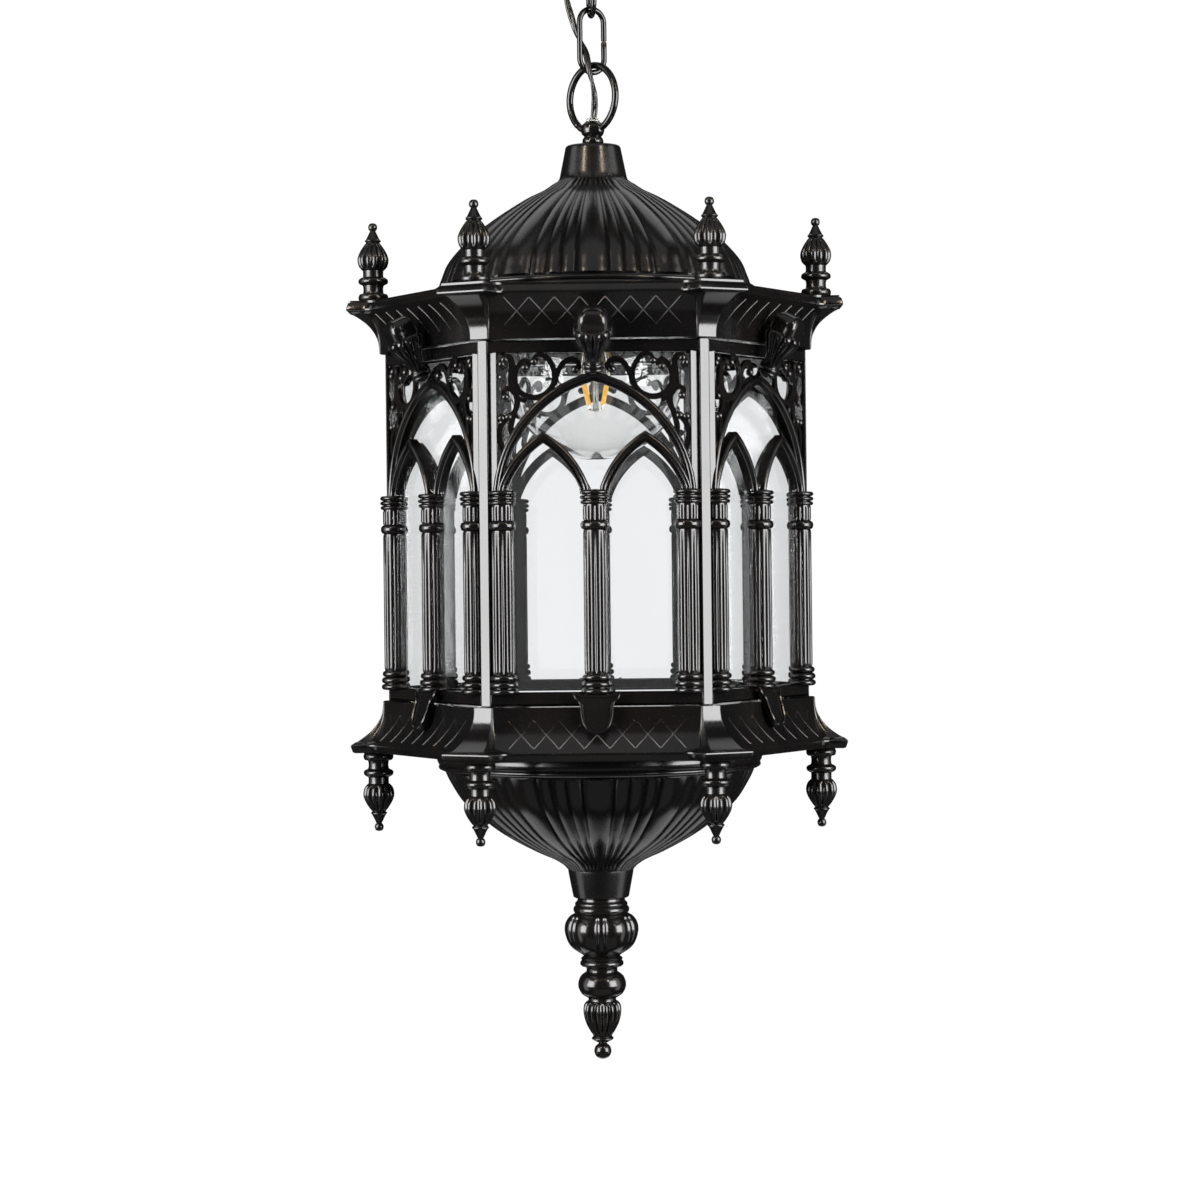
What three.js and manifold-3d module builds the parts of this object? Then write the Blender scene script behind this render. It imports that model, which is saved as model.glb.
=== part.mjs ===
// Gothic hanging lantern: a hexagonal case with pointed windows under a fluted dome, on a chain and a ceiling canopy.
// Millimetres, +Z up. The origin is the centre of the ceiling face; the lantern hangs below it in -Z.
// Heights inside the hanging group are counted from the tip of the bottom finial.
import * as THREE from "three";
import { mergeVertices } from "three/addons/utils/BufferGeometryUtils.js";
import Module from "manifold-3d";

const wasm = await Module();
wasm.setup();

// ---- driving dimensions -------------------------------------------------------------------------
const SIDES = 6;
const CORNER_STEP = (2 * Math.PI) / SIDES;
const HALF_STEP = CORNER_STEP / 2;
const GAP = 0.3; // clearance between touching pieces
const CHAIN_GAP = 0.4; // clearance between linked wires

// hexagonal case
const PANEL_APOTHEM = 111.4; // front plane of a window panel
const PANEL_THICK = 5;
const PANEL_HALF_WIDTH = 60.7;
const PANEL_LOW = 218.6;
const PANEL_HIGH = 426.6;
const POST_RADIUS = 127;
const POST_WIDTH = 5.6;
const POST_DEPTH = 12;
const PANE_THICK = 2.2;
const PANE_HALF_WIDTH = 56.6;

// cornices: a plate with a pedestal at each corner, and a cove that narrows to the window body
const NARROW_CORNER = 130.4;
const NARROW_FACET = 10;
const NARROW_APOTHEM = 115.4;
const PLATE_CORNER = 149.4;
const PLATE_FACET = 32.6;
const PLATE_APOTHEM = 125;
const POCKET_APOTHEM = 103;
const PLATE_HOLE = 90;
const LOWER_CORNICE = { plateOuter: 186.8, plateInner: 192, narrow: 217.5 };
const UPPER_CORNICE = { plateOuter: 458.9, plateInner: 452.7, narrow: 427.6 };
const FINIAL_CIRCLE = 134;

// windows
const RAIL_TOP = 419.7;
const RAIL_BOTTOM = 225.8;
const SPRING = 342.5;
const BIG_ARCH = { half: 58.3, rise: 66.5, band: 4.4 };
const LIGHT = { centre: 26.9, half: 19.4, rise: 27.5, band: 4.4 };
const COLUMN_RADIUS = 7;
const SIDE_COLUMN = { centre: 51.5, radius: 4.9 };

// suspension
const CHAIN_WIRE = 3.45;
const LINK_LENGTH = 41.8;
const LINK_WIDTH = 20.1;
const RING_WIRE = 4.2;
const RING_OUTER = 44;
const RING_PIVOT = 561; // centre of the ring's wire inside the ball
const LOOP_WIRE = 4;
const LOOP_RADIUS = 11;
const RING_TURN = THREE.MathUtils.degToRad(-45.6);
const LOWER_LINK_TURN = THREE.MathUtils.degToRad(30);
const UPPER_LINK_TURN = THREE.MathUtils.degToRad(-79.5);
const LOOP_TURN = THREE.MathUtils.degToRad(10.5);
const RING_TOP = RING_PIVOT - RING_WIRE / 2 + RING_OUTER;
const LOWER_LINK_BOTTOM = RING_TOP - RING_WIRE - CHAIN_GAP - CHAIN_WIRE;
const UPPER_LINK_BOTTOM = LOWER_LINK_BOTTOM + LINK_LENGTH - 2 * CHAIN_WIRE - CHAIN_GAP;
const LOOP_WIRE_CENTRE = UPPER_LINK_BOTTOM + LINK_LENGTH - CHAIN_WIRE - CHAIN_GAP - LOOP_WIRE / 2;

// canopy
const CANOPY_RADIUS = 60;
const CANOPY_DEPTH = 22;
const CANOPY_WALL = 1.5;
const LOOP_NECK = 8; // canopy face to the loop's crown
const CEILING = LOOP_WIRE_CENTRE + 2 * LOOP_RADIUS + LOOP_NECK + CANOPY_DEPTH;
const CANOPY_FACE = CEILING - CANOPY_DEPTH;
const CROSSBAR = { length: 104, width: 18, thick: 3 };
const CANOPY_SCREW_AT = 42;

// lamp
const NIPPLE_RADIUS = 4;
const GLOBE_RADIUS = 54;
const GLOBE_CENTRE = 416;
const GLASS_WALL = 1;
const HOLDER_MOUTH = 484;

// cord: its route from the canopy bushing to the grommet on the suspension ball
const CORD_RADIUS = 1.95;
const BUSHING_AT = new THREE.Vector2(-21, 4);
const BUSHING_LIP = 1.5;
const GROMMET_TOP = 569;
const CORD_ROUTE = [
  [-21, 4, CANOPY_FACE - BUSHING_LIP - GAP],
  [-21, 4, 686],
  [-20.6, 4, 678],
  [-19.8, 4, 670],
  [-18.8, 4, 662],
  [-17.4, 4, 654],
  [-15.8, 3.8, 646],
  [-14.2, 3.4, 638],
  [-12, 2.6, 630],
  [-9.4, 1.8, 621],
  [-6.4, 0.6, 615],
  [-3.9, -1.8, 609],
  [-2.6, -4.7, 602.5],
  [-1.6, -6.2, 596],
  [0.2, -5.2, 589],
  [1.3, -3, 582],
  [1.2, -0.9, 575],
  [0.6, 0, GROMMET_TOP + GAP],
];

// ---- materials ----------------------------------------------------------------------------------
const material = (color, roughness, metalness, opacity = 1) =>
  new THREE.MeshStandardMaterial({ color, roughness, metalness, opacity, transparent: opacity < 1 });
const blackPaint = material(0x17161a, 0.35, 0.6);
const blackWire = material(0x1c1a1a, 0.3, 0.7);
const clearGlass = material(0xe8eef0, 0.05, 0, 0.3);
const bulbGlass = material(0xf2f6f4, 0.03, 0, 0.25);
const nickel = material(0xb9b6ae, 0.3, 0.9);
const porcelain = material(0xe9e4d8, 0.4, 0);
const amberPhosphor = material(0xf0a63a, 0.5, 0);
const blackCord = material(0x1b1918, 0.5, 0);
const zincSteel = material(0x9a9c9e, 0.4, 0.85);

// ---- shape helpers ------------------------------------------------------------------------------
// A closed geometry as a solid for joining and cutting.
function solid(geometry) {
  const bare = geometry.clone();
  bare.deleteAttribute("normal");
  bare.deleteAttribute("uv");
  const merged = mergeVertices(bare, 1e-3);
  return new wasm.Manifold(
    new wasm.Mesh({
      numProp: 3,
      vertProperties: merged.attributes.position.array,
      triVerts: new Uint32Array(merged.index.array),
    }),
  );
}

// The surface of a joined or cut solid.
function surface(made) {
  const mesh = made.getMesh();
  const geometry = new THREE.BufferGeometry();
  geometry.setAttribute("position", new THREE.BufferAttribute(new Float32Array(mesh.vertProperties), 3));
  geometry.setIndex(new THREE.BufferAttribute(mesh.triVerts, 1));
  const flat = geometry.toNonIndexed();
  flat.computeVertexNormals();
  return flat;
}

// A turned piece about +Z. The profile holds [radius, height] pairs, counter-clockwise in the half plane.
function turned(profile, segments) {
  const points = profile.map(([r, z]) => new THREE.Vector2(r, z));
  return new THREE.LatheGeometry(points, segments).rotateX(Math.PI / 2);
}

// The same for a hollow piece whose profile closes on itself.
function turnedTube(profile, segments) {
  return turned([...profile, profile[0]], segments);
}

// A plate in the XY plane from z = low to z = high.
function prism(points, low, high) {
  const shape = new THREE.Shape(points.map(([x, y]) => new THREE.Vector2(x, y)));
  return new THREE.ExtrudeGeometry(shape, { depth: high - low, bevelEnabled: false }).translate(0, 0, low);
}

// A plate that stands in the XZ plane, with its front at y = front and its back at y = back.
function upright(points, front, back) {
  const shape = new THREE.Shape(points.map(([x, z]) => new THREE.Vector2(x, z)));
  const depth = back - front;
  return new THREE.ExtrudeGeometry(shape, { depth, bevelEnabled: false }).rotateX(Math.PI / 2).translate(0, back, 0);
}

// A round bar along +Z between two heights.
function bar(radius, low, high, segments, x = 0, y = 0) {
  return new THREE.CylinderGeometry(radius, radius, high - low, segments)
    .rotateX(Math.PI / 2)
    .translate(x, y, (low + high) / 2);
}

// A wire bent along an open curve.
function wire(curve, radius, sides, steps) {
  const shape = new THREE.Shape();
  for (let i = 0; i < sides; i++) {
    const angle = (2 * Math.PI * (i + 0.5)) / sides;
    const point = [radius * Math.cos(angle), radius * Math.sin(angle)];
    i ? shape.lineTo(...point) : shape.moveTo(...point);
  }
  return new THREE.ExtrudeGeometry(shape, { steps, extrudePath: curve, bevelEnabled: false });
}

// A chain link's centreline in the XZ plane: two straight legs and two bows, cut at the middle of the right leg.
class LinkCurve extends THREE.Curve {
  constructor(length, width, slit) {
    super();
    this.bow = width / 2;
    this.leg = length - width;
    this.total = 2 * this.leg + 2 * Math.PI * this.bow;
    this.slit = slit;
  }
  getPoint(t) {
    const { bow, leg, total, slit } = this;
    let s = slit / 2 + t * (total - slit);
    if (s < leg / 2) return new THREE.Vector3(bow, 0, s);
    s -= leg / 2;
    if (s < Math.PI * bow) return new THREE.Vector3(bow * Math.cos(s / bow), 0, leg / 2 + bow * Math.sin(s / bow));
    s -= Math.PI * bow;
    if (s < leg) return new THREE.Vector3(-bow, 0, leg / 2 - s);
    s -= leg;
    if (s < Math.PI * bow) return new THREE.Vector3(-bow * Math.cos(s / bow), 0, -leg / 2 - bow * Math.sin(s / bow));
    return new THREE.Vector3(bow, 0, s - Math.PI * bow - leg / 2);
  }
}

// A round ring's centreline in the XZ plane, cut at one angle.
class RingCurve extends THREE.Curve {
  constructor(radius, cutAngle, slit) {
    super();
    this.radius = radius;
    this.start = cutAngle + slit / radius / 2;
    this.sweep = 2 * Math.PI - slit / radius;
  }
  getPoint(t) {
    const angle = this.start + this.sweep * t;
    return new THREE.Vector3(this.radius * Math.cos(angle), 0, this.radius * Math.sin(angle));
  }
}

// The outline of a pointed arch over a spring line, from the right spring over the point to the left one.
function pointedArch(centre, half, spring, rise, steps = 5) {
  const reach = (rise * rise - half * half) / (2 * half);
  const radius = half + reach;
  const top = Math.atan2(rise, reach);
  const right = [];
  for (let i = 0; i <= steps; i++) {
    const angle = (top * i) / steps;
    right.push([radius * Math.cos(angle) - reach, radius * Math.sin(angle)]);
  }
  const left = right.slice(0, -1).reverse().map(([x, z]) => [-x, z]);
  return [...right, ...left].map(([x, z]) => [centre + x, spring + z]);
}

// One level of a cornice: a hexagon with a pedestal at each corner. flare is 0 at the narrow end and 1 at the plate.
function corniceOutline(flare) {
  const corner = THREE.MathUtils.lerp(NARROW_CORNER, PLATE_CORNER, flare);
  const half = THREE.MathUtils.lerp(NARROW_FACET, PLATE_FACET, flare) / 2;
  const apothem = THREE.MathUtils.lerp(NARROW_APOTHEM, PLATE_APOTHEM, flare);
  const root = (apothem - half * Math.sin(HALF_STEP)) / Math.cos(HALF_STEP);
  const fillet = 0.4 * Math.max(corner - root, 0) + 0.15;
  const edge = [root - fillet * Math.sin(HALF_STEP), half + fillet * Math.cos(HALF_STEP)];
  const bend = [Math.min(root + fillet, corner - 0.02), half + 0.02];
  const face = [corner, half];
  const right = [edge, bend, face].map(([x, y]) => [x, -y]);
  const around = [...right, face, bend, edge];
  const outline = [];
  for (let k = 0; k < SIDES; k++) {
    const c = Math.cos(k * CORNER_STEP);
    const s = Math.sin(k * CORNER_STEP);
    for (const [x, y] of around) outline.push(new THREE.Vector2(c * x - s * y, s * x + c * y));
  }
  return outline;
}

// A closed solid through a stack of outlines with equal point counts, from the lowest to the highest.
function loft(levels) {
  const count = levels[0].outline.length;
  const vertices = levels.flatMap(({ outline, z }) => outline.flatMap((p) => [p.x, p.y, z]));
  const faces = [];
  for (let level = 0; level + 1 < levels.length; level++) {
    for (let i = 0; i < count; i++) {
      const a = level * count + i;
      const b = level * count + ((i + 1) % count);
      faces.push(a, b, b + count, a, b + count, a + count);
    }
  }
  const last = (levels.length - 1) * count;
  for (const [a, b, c] of THREE.ShapeUtils.triangulateShape(levels[0].outline, [])) faces.push(a, c, b);
  for (const [a, b, c] of THREE.ShapeUtils.triangulateShape(levels.at(-1).outline, [])) {
    faces.push(last + a, last + b, last + c);
  }
  const geometry = new THREE.BufferGeometry();
  geometry.setAttribute("position", new THREE.Float32BufferAttribute(vertices, 3));
  geometry.setIndex(faces);
  return geometry;
}

// ---- pieces -------------------------------------------------------------------------------------
const COVE_STEPS = 6;
const CORNICE_WALL = 3; // the plate's thickness inside, above or below the pocket

function cornice({ plateOuter, plateInner, narrow }) {
  const levels = [{ outline: corniceOutline(1), z: plateOuter }];
  for (let i = COVE_STEPS; i >= 0; i--) {
    const t = i / COVE_STEPS;
    const flare = i === COVE_STEPS ? 1 : 0.93 * t ** 2.5;
    levels.push({ outline: corniceOutline(flare), z: THREE.MathUtils.lerp(narrow, plateInner, t) });
  }
  levels.sort((a, b) => a.z - b.z);
  const inward = Math.sign(narrow - plateOuter);
  const pocketFloor = plateInner + inward * CORNICE_WALL;
  const pocketEnd = narrow + inward;
  const pocketRadius = POCKET_APOTHEM / Math.cos(HALF_STEP);
  const low = Math.min(pocketFloor, pocketEnd);
  const high = Math.max(pocketFloor, pocketEnd);
  const pocket = bar(pocketRadius, low, high, SIDES).rotateZ(Math.PI / 2);
  const hole = bar(PLATE_HOLE, levels[0].z - 1, levels.at(-1).z + 1, 30);
  return surface(solid(loft(levels)).subtract(solid(pocket)).subtract(solid(hole)));
}

// Base ring, neck, ring, neck, fluted bud, flared collar, cone and ball, as [radius, height] from the base.
const FINIAL_PROFILE = [
  [0, 0],
  [8.8, 0],
  [8.8, 4.6],
  [6, 5.4],
  [6, 9.6],
  [8.9, 12.4],
  [6.2, 15.2],
  [6.2, 19.2],
  [9.5, 24.6],
  [8, 30],
  [4, 35.6],
  [4.8, 37],
  [1.6, 43],
  [2.7, 45.2],
  [0, 47.8],
];

function cornerFinial() {
  return turned(FINIAL_PROFILE, 8);
}

function cornerPost() {
  const half = POST_WIDTH / 2;
  const plan = [
    [POST_RADIUS - POST_DEPTH, -half],
    [POST_RADIUS, -half],
    [POST_RADIUS, half],
    [POST_RADIUS - POST_DEPTH, half],
  ];
  return prism(plan, LOWER_CORNICE.narrow + GAP, UPPER_CORNICE.narrow - GAP);
}

function pane() {
  const back = -(PANEL_APOTHEM - PANEL_THICK - GAP - PANE_THICK);
  const low = PANEL_LOW + 1;
  const high = PANEL_HIGH - 1;
  const w = PANE_HALF_WIDTH;
  const sheet = [[-w, low], [w, low], [w, high], [-w, high]];
  return upright(sheet, back - PANE_THICK, back);
}

// A column with its base, middle ring and capital, as a share of its shaft radius over the base.
function column(radius, x, segments) {
  const wide = radius * 1.18;
  const profile = [
    [0, 224.6],
    [wide, 224.6],
    [wide, 232],
    [radius, 236],
    [radius, 318.5],
    [wide, 321],
    [radius, 323.7],
    [radius, 332.9],
    [wide, 334],
    [wide, 340],
    [0, 341.5],
  ];
  return turned(profile, segments).translate(x, -(PANEL_APOTHEM - 0.6), 0);
}

// The shield-shaped leaf that leans out over the lower cornice.
function leaf() {
  const half = [
    [13.2, 6],
    [13, 2.6],
    [8.8, 0.4],
    [7.9, -7],
    [7.6, -14],
    [5.2, -18.4],
  ];
  const outline = [...half, [0, -20], ...half.slice().reverse().map(([x, z]) => [-x, z])];
  const lean = Math.atan2(7.2, 22);
  return upright(outline, -3, 0).rotateX(-lean).translate(0, -(PANEL_APOTHEM + 3.8), 221);
}

function panel() {
  const front = -PANEL_APOTHEM;
  const back = front + PANEL_THICK;
  const mitre = PANEL_THICK * Math.tan(HALF_STEP);
  const w = PANEL_HALF_WIDTH;
  const plan = [[-w, front], [w, front], [w - mitre, back], [mitre - w, back]];
  const cut = (points) => solid(upright(points, front - 1, back + 1));
  const { half, rise, band } = BIG_ARCH;
  const inner = cut(pointedArch(0, half - band, SPRING, rise - band * 0.85));
  const outer = cut([...pointedArch(0, half, SPRING, rise), [-half, SPRING - 8], [half, SPRING - 8]]);
  let tympanum = inner;
  let frame = solid(prism(plan, PANEL_LOW, PANEL_HIGH));
  for (const side of [-1, 1]) {
    const centre = side * LIGHT.centre;
    const light = [
      ...pointedArch(centre, LIGHT.half, SPRING, LIGHT.rise),
      [centre - LIGHT.half, RAIL_BOTTOM],
      [centre + LIGHT.half, RAIL_BOTTOM],
    ];
    const reach = LIGHT.half + LIGHT.band;
    const crown = [
      ...pointedArch(centre, reach, SPRING, LIGHT.rise + LIGHT.band),
      [centre - reach, SPRING - 8],
      [centre + reach, SPRING - 8],
    ];
    frame = frame.subtract(cut(light));
    tympanum = tympanum.subtract(cut(crown));
    const inside = side * 9;
    const outside = side * 56.3;
    const spandrel = [[inside, SPRING + 12], [outside, SPRING + 12], [outside, RAIL_TOP], [inside, RAIL_TOP]];
    if (side < 0) spandrel.reverse();
    frame = frame.subtract(cut(spandrel).subtract(outer));
  }
  const keel = cut([[-6, SPRING], [6, SPRING], [6, SPRING + 9], [-6, SPRING + 9]]);
  frame = frame.subtract(tympanum.subtract(keel));
  for (const side of [-1, 1]) {
    const scroll = turnedTube([[9, -2], [13.2, -2], [13.2, 2], [9, 2]], 10)
      .rotateX(Math.PI / 2)
      .translate(side * 32, front + 2.2, 406.2);
    frame = frame.add(solid(scroll));
  }
  const ahead = solid(upright([[-58, 215], [58, 215], [58, 345], [-58, 345]], front - 20, back));
  const columns = solid(column(COLUMN_RADIUS, 0, 8))
    .add(solid(column(SIDE_COLUMN.radius, SIDE_COLUMN.centre, 6)))
    .add(solid(column(SIDE_COLUMN.radius, -SIDE_COLUMN.centre, 6)));
  return surface(frame.add(columns.intersect(ahead)).add(solid(leaf())));
}

// The acorn-shaped corbel that stands on each arch's point and leans out past the upper cornice.
const CORBEL_LEAN = THREE.MathUtils.degToRad(27);
const CORBEL_FOOT = { out: PANEL_APOTHEM + 5.8, up: 409.8 };

function corbel() {
  const profile = [
    [0, -1],
    [5.4, -1],
    [5.6, 3.6],
    [4.3, 5],
    [7.4, 14],
    [11.2, 21],
    [11.4, 24],
    [9.8, 26],
    [8.2, 33],
    [0, 37.6],
  ];
  return turned(profile, 10).rotateX(CORBEL_LEAN).translate(0, -CORBEL_FOOT.out, CORBEL_FOOT.up);
}

const SHELL_WALL = 3;

function dome() {
  const foot = UPPER_CORNICE.plateOuter + GAP;
  const profile = [
    [91, foot],
    [98, foot],
    [98, 465.6],
    [93.4, 467],
    [92.2, 472],
    [86, 483],
    [74.5, 496],
    [60.6, 507.5],
    [41.8, 519.6],
    [28.8, 525.7],
    [20.3, 532.6],
    [17.9, 543.8],
    [15.4, 549.9],
    [11.5, 552.2],
    [NIPPLE_RADIUS + GAP, 552.2],
    [NIPPLE_RADIUS + GAP, 546],
    [13, 545],
    [16.4, 530],
    [27, 522],
    [40, 516.4],
    [58.4, 504.8],
    [83, 481.2],
  ];
  return turnedTube(profile, 20);
}

function bowl() {
  const rim = LOWER_CORNICE.plateOuter - GAP;
  const bore = 5.3;
  const profile = [
    [bore, 97.3],
    [16.8, 97.3],
    [19.5, 112.3],
    [19.1, 113.9],
    [25.7, 119.9],
    [39, 126],
    [57, 136.2],
    [72, 147.6],
    [81, 156],
    [88, 168.4],
    [92.4, 175.6],
    [98.2, 177],
    [98.2, rim],
    [91, rim],
    [88.6, 174],
    [78.6, 157.6],
    [55.4, 139],
    [37.6, 129],
    [24, 123],
    [bore, 121],
  ];
  const setScrewHole = new THREE.CylinderGeometry(1.9, 1.9, 20, 8).translate(0, -15, 101);
  return surface(solid(turnedTube(profile, 20)).subtract(solid(setScrewHole)));
}

function setScrew() {
  return new THREE.CylinderGeometry(1.6, 1.6, 10.5, 8).translate(0, -(5.3 + 0.4 + 5.25), 101);
}

function bottomFinial() {
  const profile = [
    [0, -0.6],
    [3.7, 1],
    [5.2, 4.6],
    [3.8, 8.2],
    [2.2, 9.2],
    [6.6, 10.8],
    [5.5, 12.8],
    [9.4, 18],
    [11.6, 28],
    [8.5, 34.4],
    [8.5, 36],
    [12.6, 39],
    [14.4, 45],
    [12.4, 50.6],
    [9.5, 52.4],
    [9.5, 55.4],
    [13, 56.4],
    [13, 61.6],
    [10.9, 62.4],
    [18.4, 67],
    [22.3, 79.5],
    [19.8, 86],
    [16, 88],
    [16, 93.2],
    [14.2, 94],
    [14.5, 97],
    [5, 97],
    [5, 118],
    [0, 118],
  ];
  return turned(profile, 12);
}

function lampHolder() {
  const profile = [
    [13.7, HOLDER_MOUTH],
    [18, HOLDER_MOUTH],
    [18, 512],
    [13, 519],
    [8, 521],
    [8, 532],
    [NIPPLE_RADIUS + GAP, 532],
    [NIPPLE_RADIUS + GAP, 516],
    [13.7, 513.6],
  ];
  return turnedTube(profile, 18);
}

function bulbCap() {
  const profile = [
    [0, 484.6],
    [12.8, 484.6],
    [13.2, 487],
    [13.2, 507],
    [8, 511],
    [4.4, 512.4],
    [0, 512.4],
  ];
  return turned(profile, 16);
}

function bulbGlobe() {
  const outer = [];
  const inner = [];
  const topAngle = THREE.MathUtils.degToRad(30);
  const steps = 8;
  for (let i = 0; i <= steps; i++) {
    const angle = THREE.MathUtils.lerp(Math.PI, topAngle, i / steps);
    outer.push([GLOBE_RADIUS * Math.sin(angle), GLOBE_CENTRE + GLOBE_RADIUS * Math.cos(angle)]);
    const inside = GLOBE_RADIUS - GLASS_WALL;
    inner.unshift([inside * Math.sin(angle), GLOBE_CENTRE + inside * Math.cos(angle)]);
  }
  outer[0][0] = 0;
  inner[inner.length - 1][0] = 0;
  const neck = [[17.6, 470.5], [14.6, 477], [14.4, 483.7], [13.2, 483.7], [13.4, 476.6], [16.6, 469.4]];
  return turned([...outer, ...neck, ...inner], 14);
}

// The glass stem with four filament sticks around it.
function bulbFilament() {
  const stem = [
    [0, 388],
    [1.6, 388],
    [1.6, 440],
    [3, 446],
    [4, 466],
    [9, 478],
    [0, 478],
  ];
  let made = solid(turned(stem, 6));
  for (let k = 0; k < 4; k++) {
    const turn = k * (Math.PI / 2) + Math.PI / 4;
    const run = new THREE.LineCurve3(new THREE.Vector3(0, 0, 389), new THREE.Vector3(13, 0, 440));
    const stick = wire(run, 1, 4, 1).rotateZ(turn);
    const arm = new THREE.BoxGeometry(13.4, 1, 1).translate(6.7, 0, 439).rotateZ(turn);
    made = made.add(solid(stick)).add(solid(arm));
  }
  return surface(made);
}

function topNipple() {
  return bar(NIPPLE_RADIUS, 517, 555.5, 10);
}

function nippleNut() {
  const bore = (NIPPLE_RADIUS + GAP) / Math.cos(HALF_STEP);
  return turnedTube([[bore, 539], [8.5, 539], [8.5, 544.6], [bore, 544.6]], 6);
}

// Two stacked balls over a bored seat, with a cross hole for the ring.
function suspensionBall() {
  const bore = NIPPLE_RADIUS + GAP;
  const profile = [
    [0, 555.8],
    [bore, 555.8],
    [bore, 552.5],
    [5.4, 552.5],
    [6.3, 555],
    [5.2, 557.6],
    [6.6, 559.6],
    [7, 562.2],
    [6.2, 565],
    [4.2, 566.8],
    [0, 566.8],
  ];
  const hole = new THREE.CylinderGeometry(3.1, 3.1, 24, 12)
    .rotateZ(Math.PI / 2)
    .translate(0, 0, RING_PIVOT + 0.4)
    .rotateZ(RING_TURN);
  return surface(solid(turned(profile, 16)).subtract(solid(hole)));
}

function wireGrommet() {
  return turnedTube([[2.3, 567.1], [3.7, 567.1], [3.7, 568.2], [2.9, GROMMET_TOP], [2.3, GROMMET_TOP]], 12);
}

function hangingRing() {
  const radius = (RING_OUTER - RING_WIRE) / 2;
  return wire(new RingCurve(radius, THREE.MathUtils.degToRad(232), GAP), RING_WIRE / 2, 8, 30)
    .rotateZ(RING_TURN)
    .translate(0, 0, RING_PIVOT + radius);
}

function chainLink(bottom, turn) {
  const curve = new LinkCurve(LINK_LENGTH - CHAIN_WIRE, LINK_WIDTH - CHAIN_WIRE, GAP);
  return wire(curve, CHAIN_WIRE / 2, 8, 30)
    .rotateZ(turn)
    .translate(0, 0, bottom + LINK_LENGTH / 2);
}

function canopyLoop() {
  const ring = new THREE.TorusGeometry(LOOP_RADIUS, LOOP_WIRE / 2, 8, 20)
    .rotateX(Math.PI / 2)
    .rotateZ(LOOP_TURN)
    .translate(0, 0, LOOP_WIRE_CENTRE + LOOP_RADIUS);
  const stem = turned(
    [
      [0, CANOPY_FACE - LOOP_NECK - 2.6],
      [4.4, CANOPY_FACE - LOOP_NECK - 1.6],
      [4.6, CANOPY_FACE - 5],
      [9, CANOPY_FACE - 4],
      [9, CANOPY_FACE - GAP],
      [4.8, CANOPY_FACE - GAP],
      [4.8, CEILING - CROSSBAR.thick - GAP],
      [0, CEILING - CROSSBAR.thick - GAP],
    ],
    12,
  );
  return surface(solid(ring).add(solid(stem)));
}

function canopy() {
  const inside = CANOPY_FACE + CANOPY_WALL;
  const profile = [
    [5.3, CANOPY_FACE],
    [50, CANOPY_FACE],
    [57, CANOPY_FACE + 4],
    [CANOPY_RADIUS, CANOPY_FACE + 11],
    [CANOPY_RADIUS, CEILING],
    [CANOPY_RADIUS - CANOPY_WALL, CEILING],
    [CANOPY_RADIUS - CANOPY_WALL, CANOPY_FACE + 11.4],
    [55.8, inside + 3.6],
    [49.4, inside],
    [5.3, inside],
  ];
  let made = solid(turnedTube(profile, 24));
  for (const side of [-1, 1]) {
    made = made.subtract(solid(bar(2.3, CANOPY_FACE - 1, inside + 1, 8, side * CANOPY_SCREW_AT)));
  }
  const cordHole = bar(3.6, CANOPY_FACE - 1, inside + 1, 10, BUSHING_AT.x, BUSHING_AT.y);
  return surface(made.subtract(solid(cordHole)));
}

function canopyBushing() {
  const face = CANOPY_FACE;
  const profile = [
    [2.4, face - BUSHING_LIP],
    [5, face - BUSHING_LIP],
    [5, face - GAP],
    [3.3, face - GAP],
    [3.3, face + CANOPY_WALL + 2],
    [2.4, face + CANOPY_WALL + 2],
  ];
  return turnedTube(profile, 10).translate(BUSHING_AT.x, BUSHING_AT.y, 0);
}

function crossbar() {
  const { length, width, thick } = CROSSBAR;
  return new THREE.BoxGeometry(length, width, thick).translate(0, 0, CEILING - thick / 2);
}

// A long screw with a domed cap under the canopy face.
function canopyScrew(side) {
  const face = CANOPY_FACE - GAP;
  const profile = [
    [0, face - 6.4],
    [3.4, face - 5.4],
    [4.8, face - 2.6],
    [4.8, face],
    [2, face],
    [2, CEILING - CROSSBAR.thick - GAP],
    [0, CEILING - CROSSBAR.thick - GAP],
  ];
  return turned(profile, 8).translate(side * CANOPY_SCREW_AT, 0, 0);
}

function cord() {
  const route = new THREE.CatmullRomCurve3(CORD_ROUTE.map((p) => new THREE.Vector3(...p)));
  return wire(route, CORD_RADIUS, 8, 30);
}

// ---- assembly -----------------------------------------------------------------------------------
function node(name, geometry, look, turn = 0) {
  const mesh = new THREE.Mesh(geometry, look);
  mesh.name = name;
  mesh.rotation.z = turn;
  return mesh;
}

const ceilingSet = new THREE.Group();
ceilingSet.add(
  node("crossbar", crossbar(), zincSteel),
  node("canopy", canopy(), blackPaint),
  node("canopy_screw_left", canopyScrew(-1), zincSteel),
  node("canopy_screw_right", canopyScrew(1), zincSteel),
  node("canopy_bushing", canopyBushing(), blackCord),
  node("canopy_loop", canopyLoop(), blackWire),
);

const chain = new THREE.Group();
chain.add(
  node("link_upper", chainLink(UPPER_LINK_BOTTOM, UPPER_LINK_TURN), blackWire),
  node("link_lower", chainLink(LOWER_LINK_BOTTOM, LOWER_LINK_TURN), blackWire),
  node("hanging_ring", hangingRing(), blackWire),
  node("cord", cord(), blackCord),
);

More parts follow.
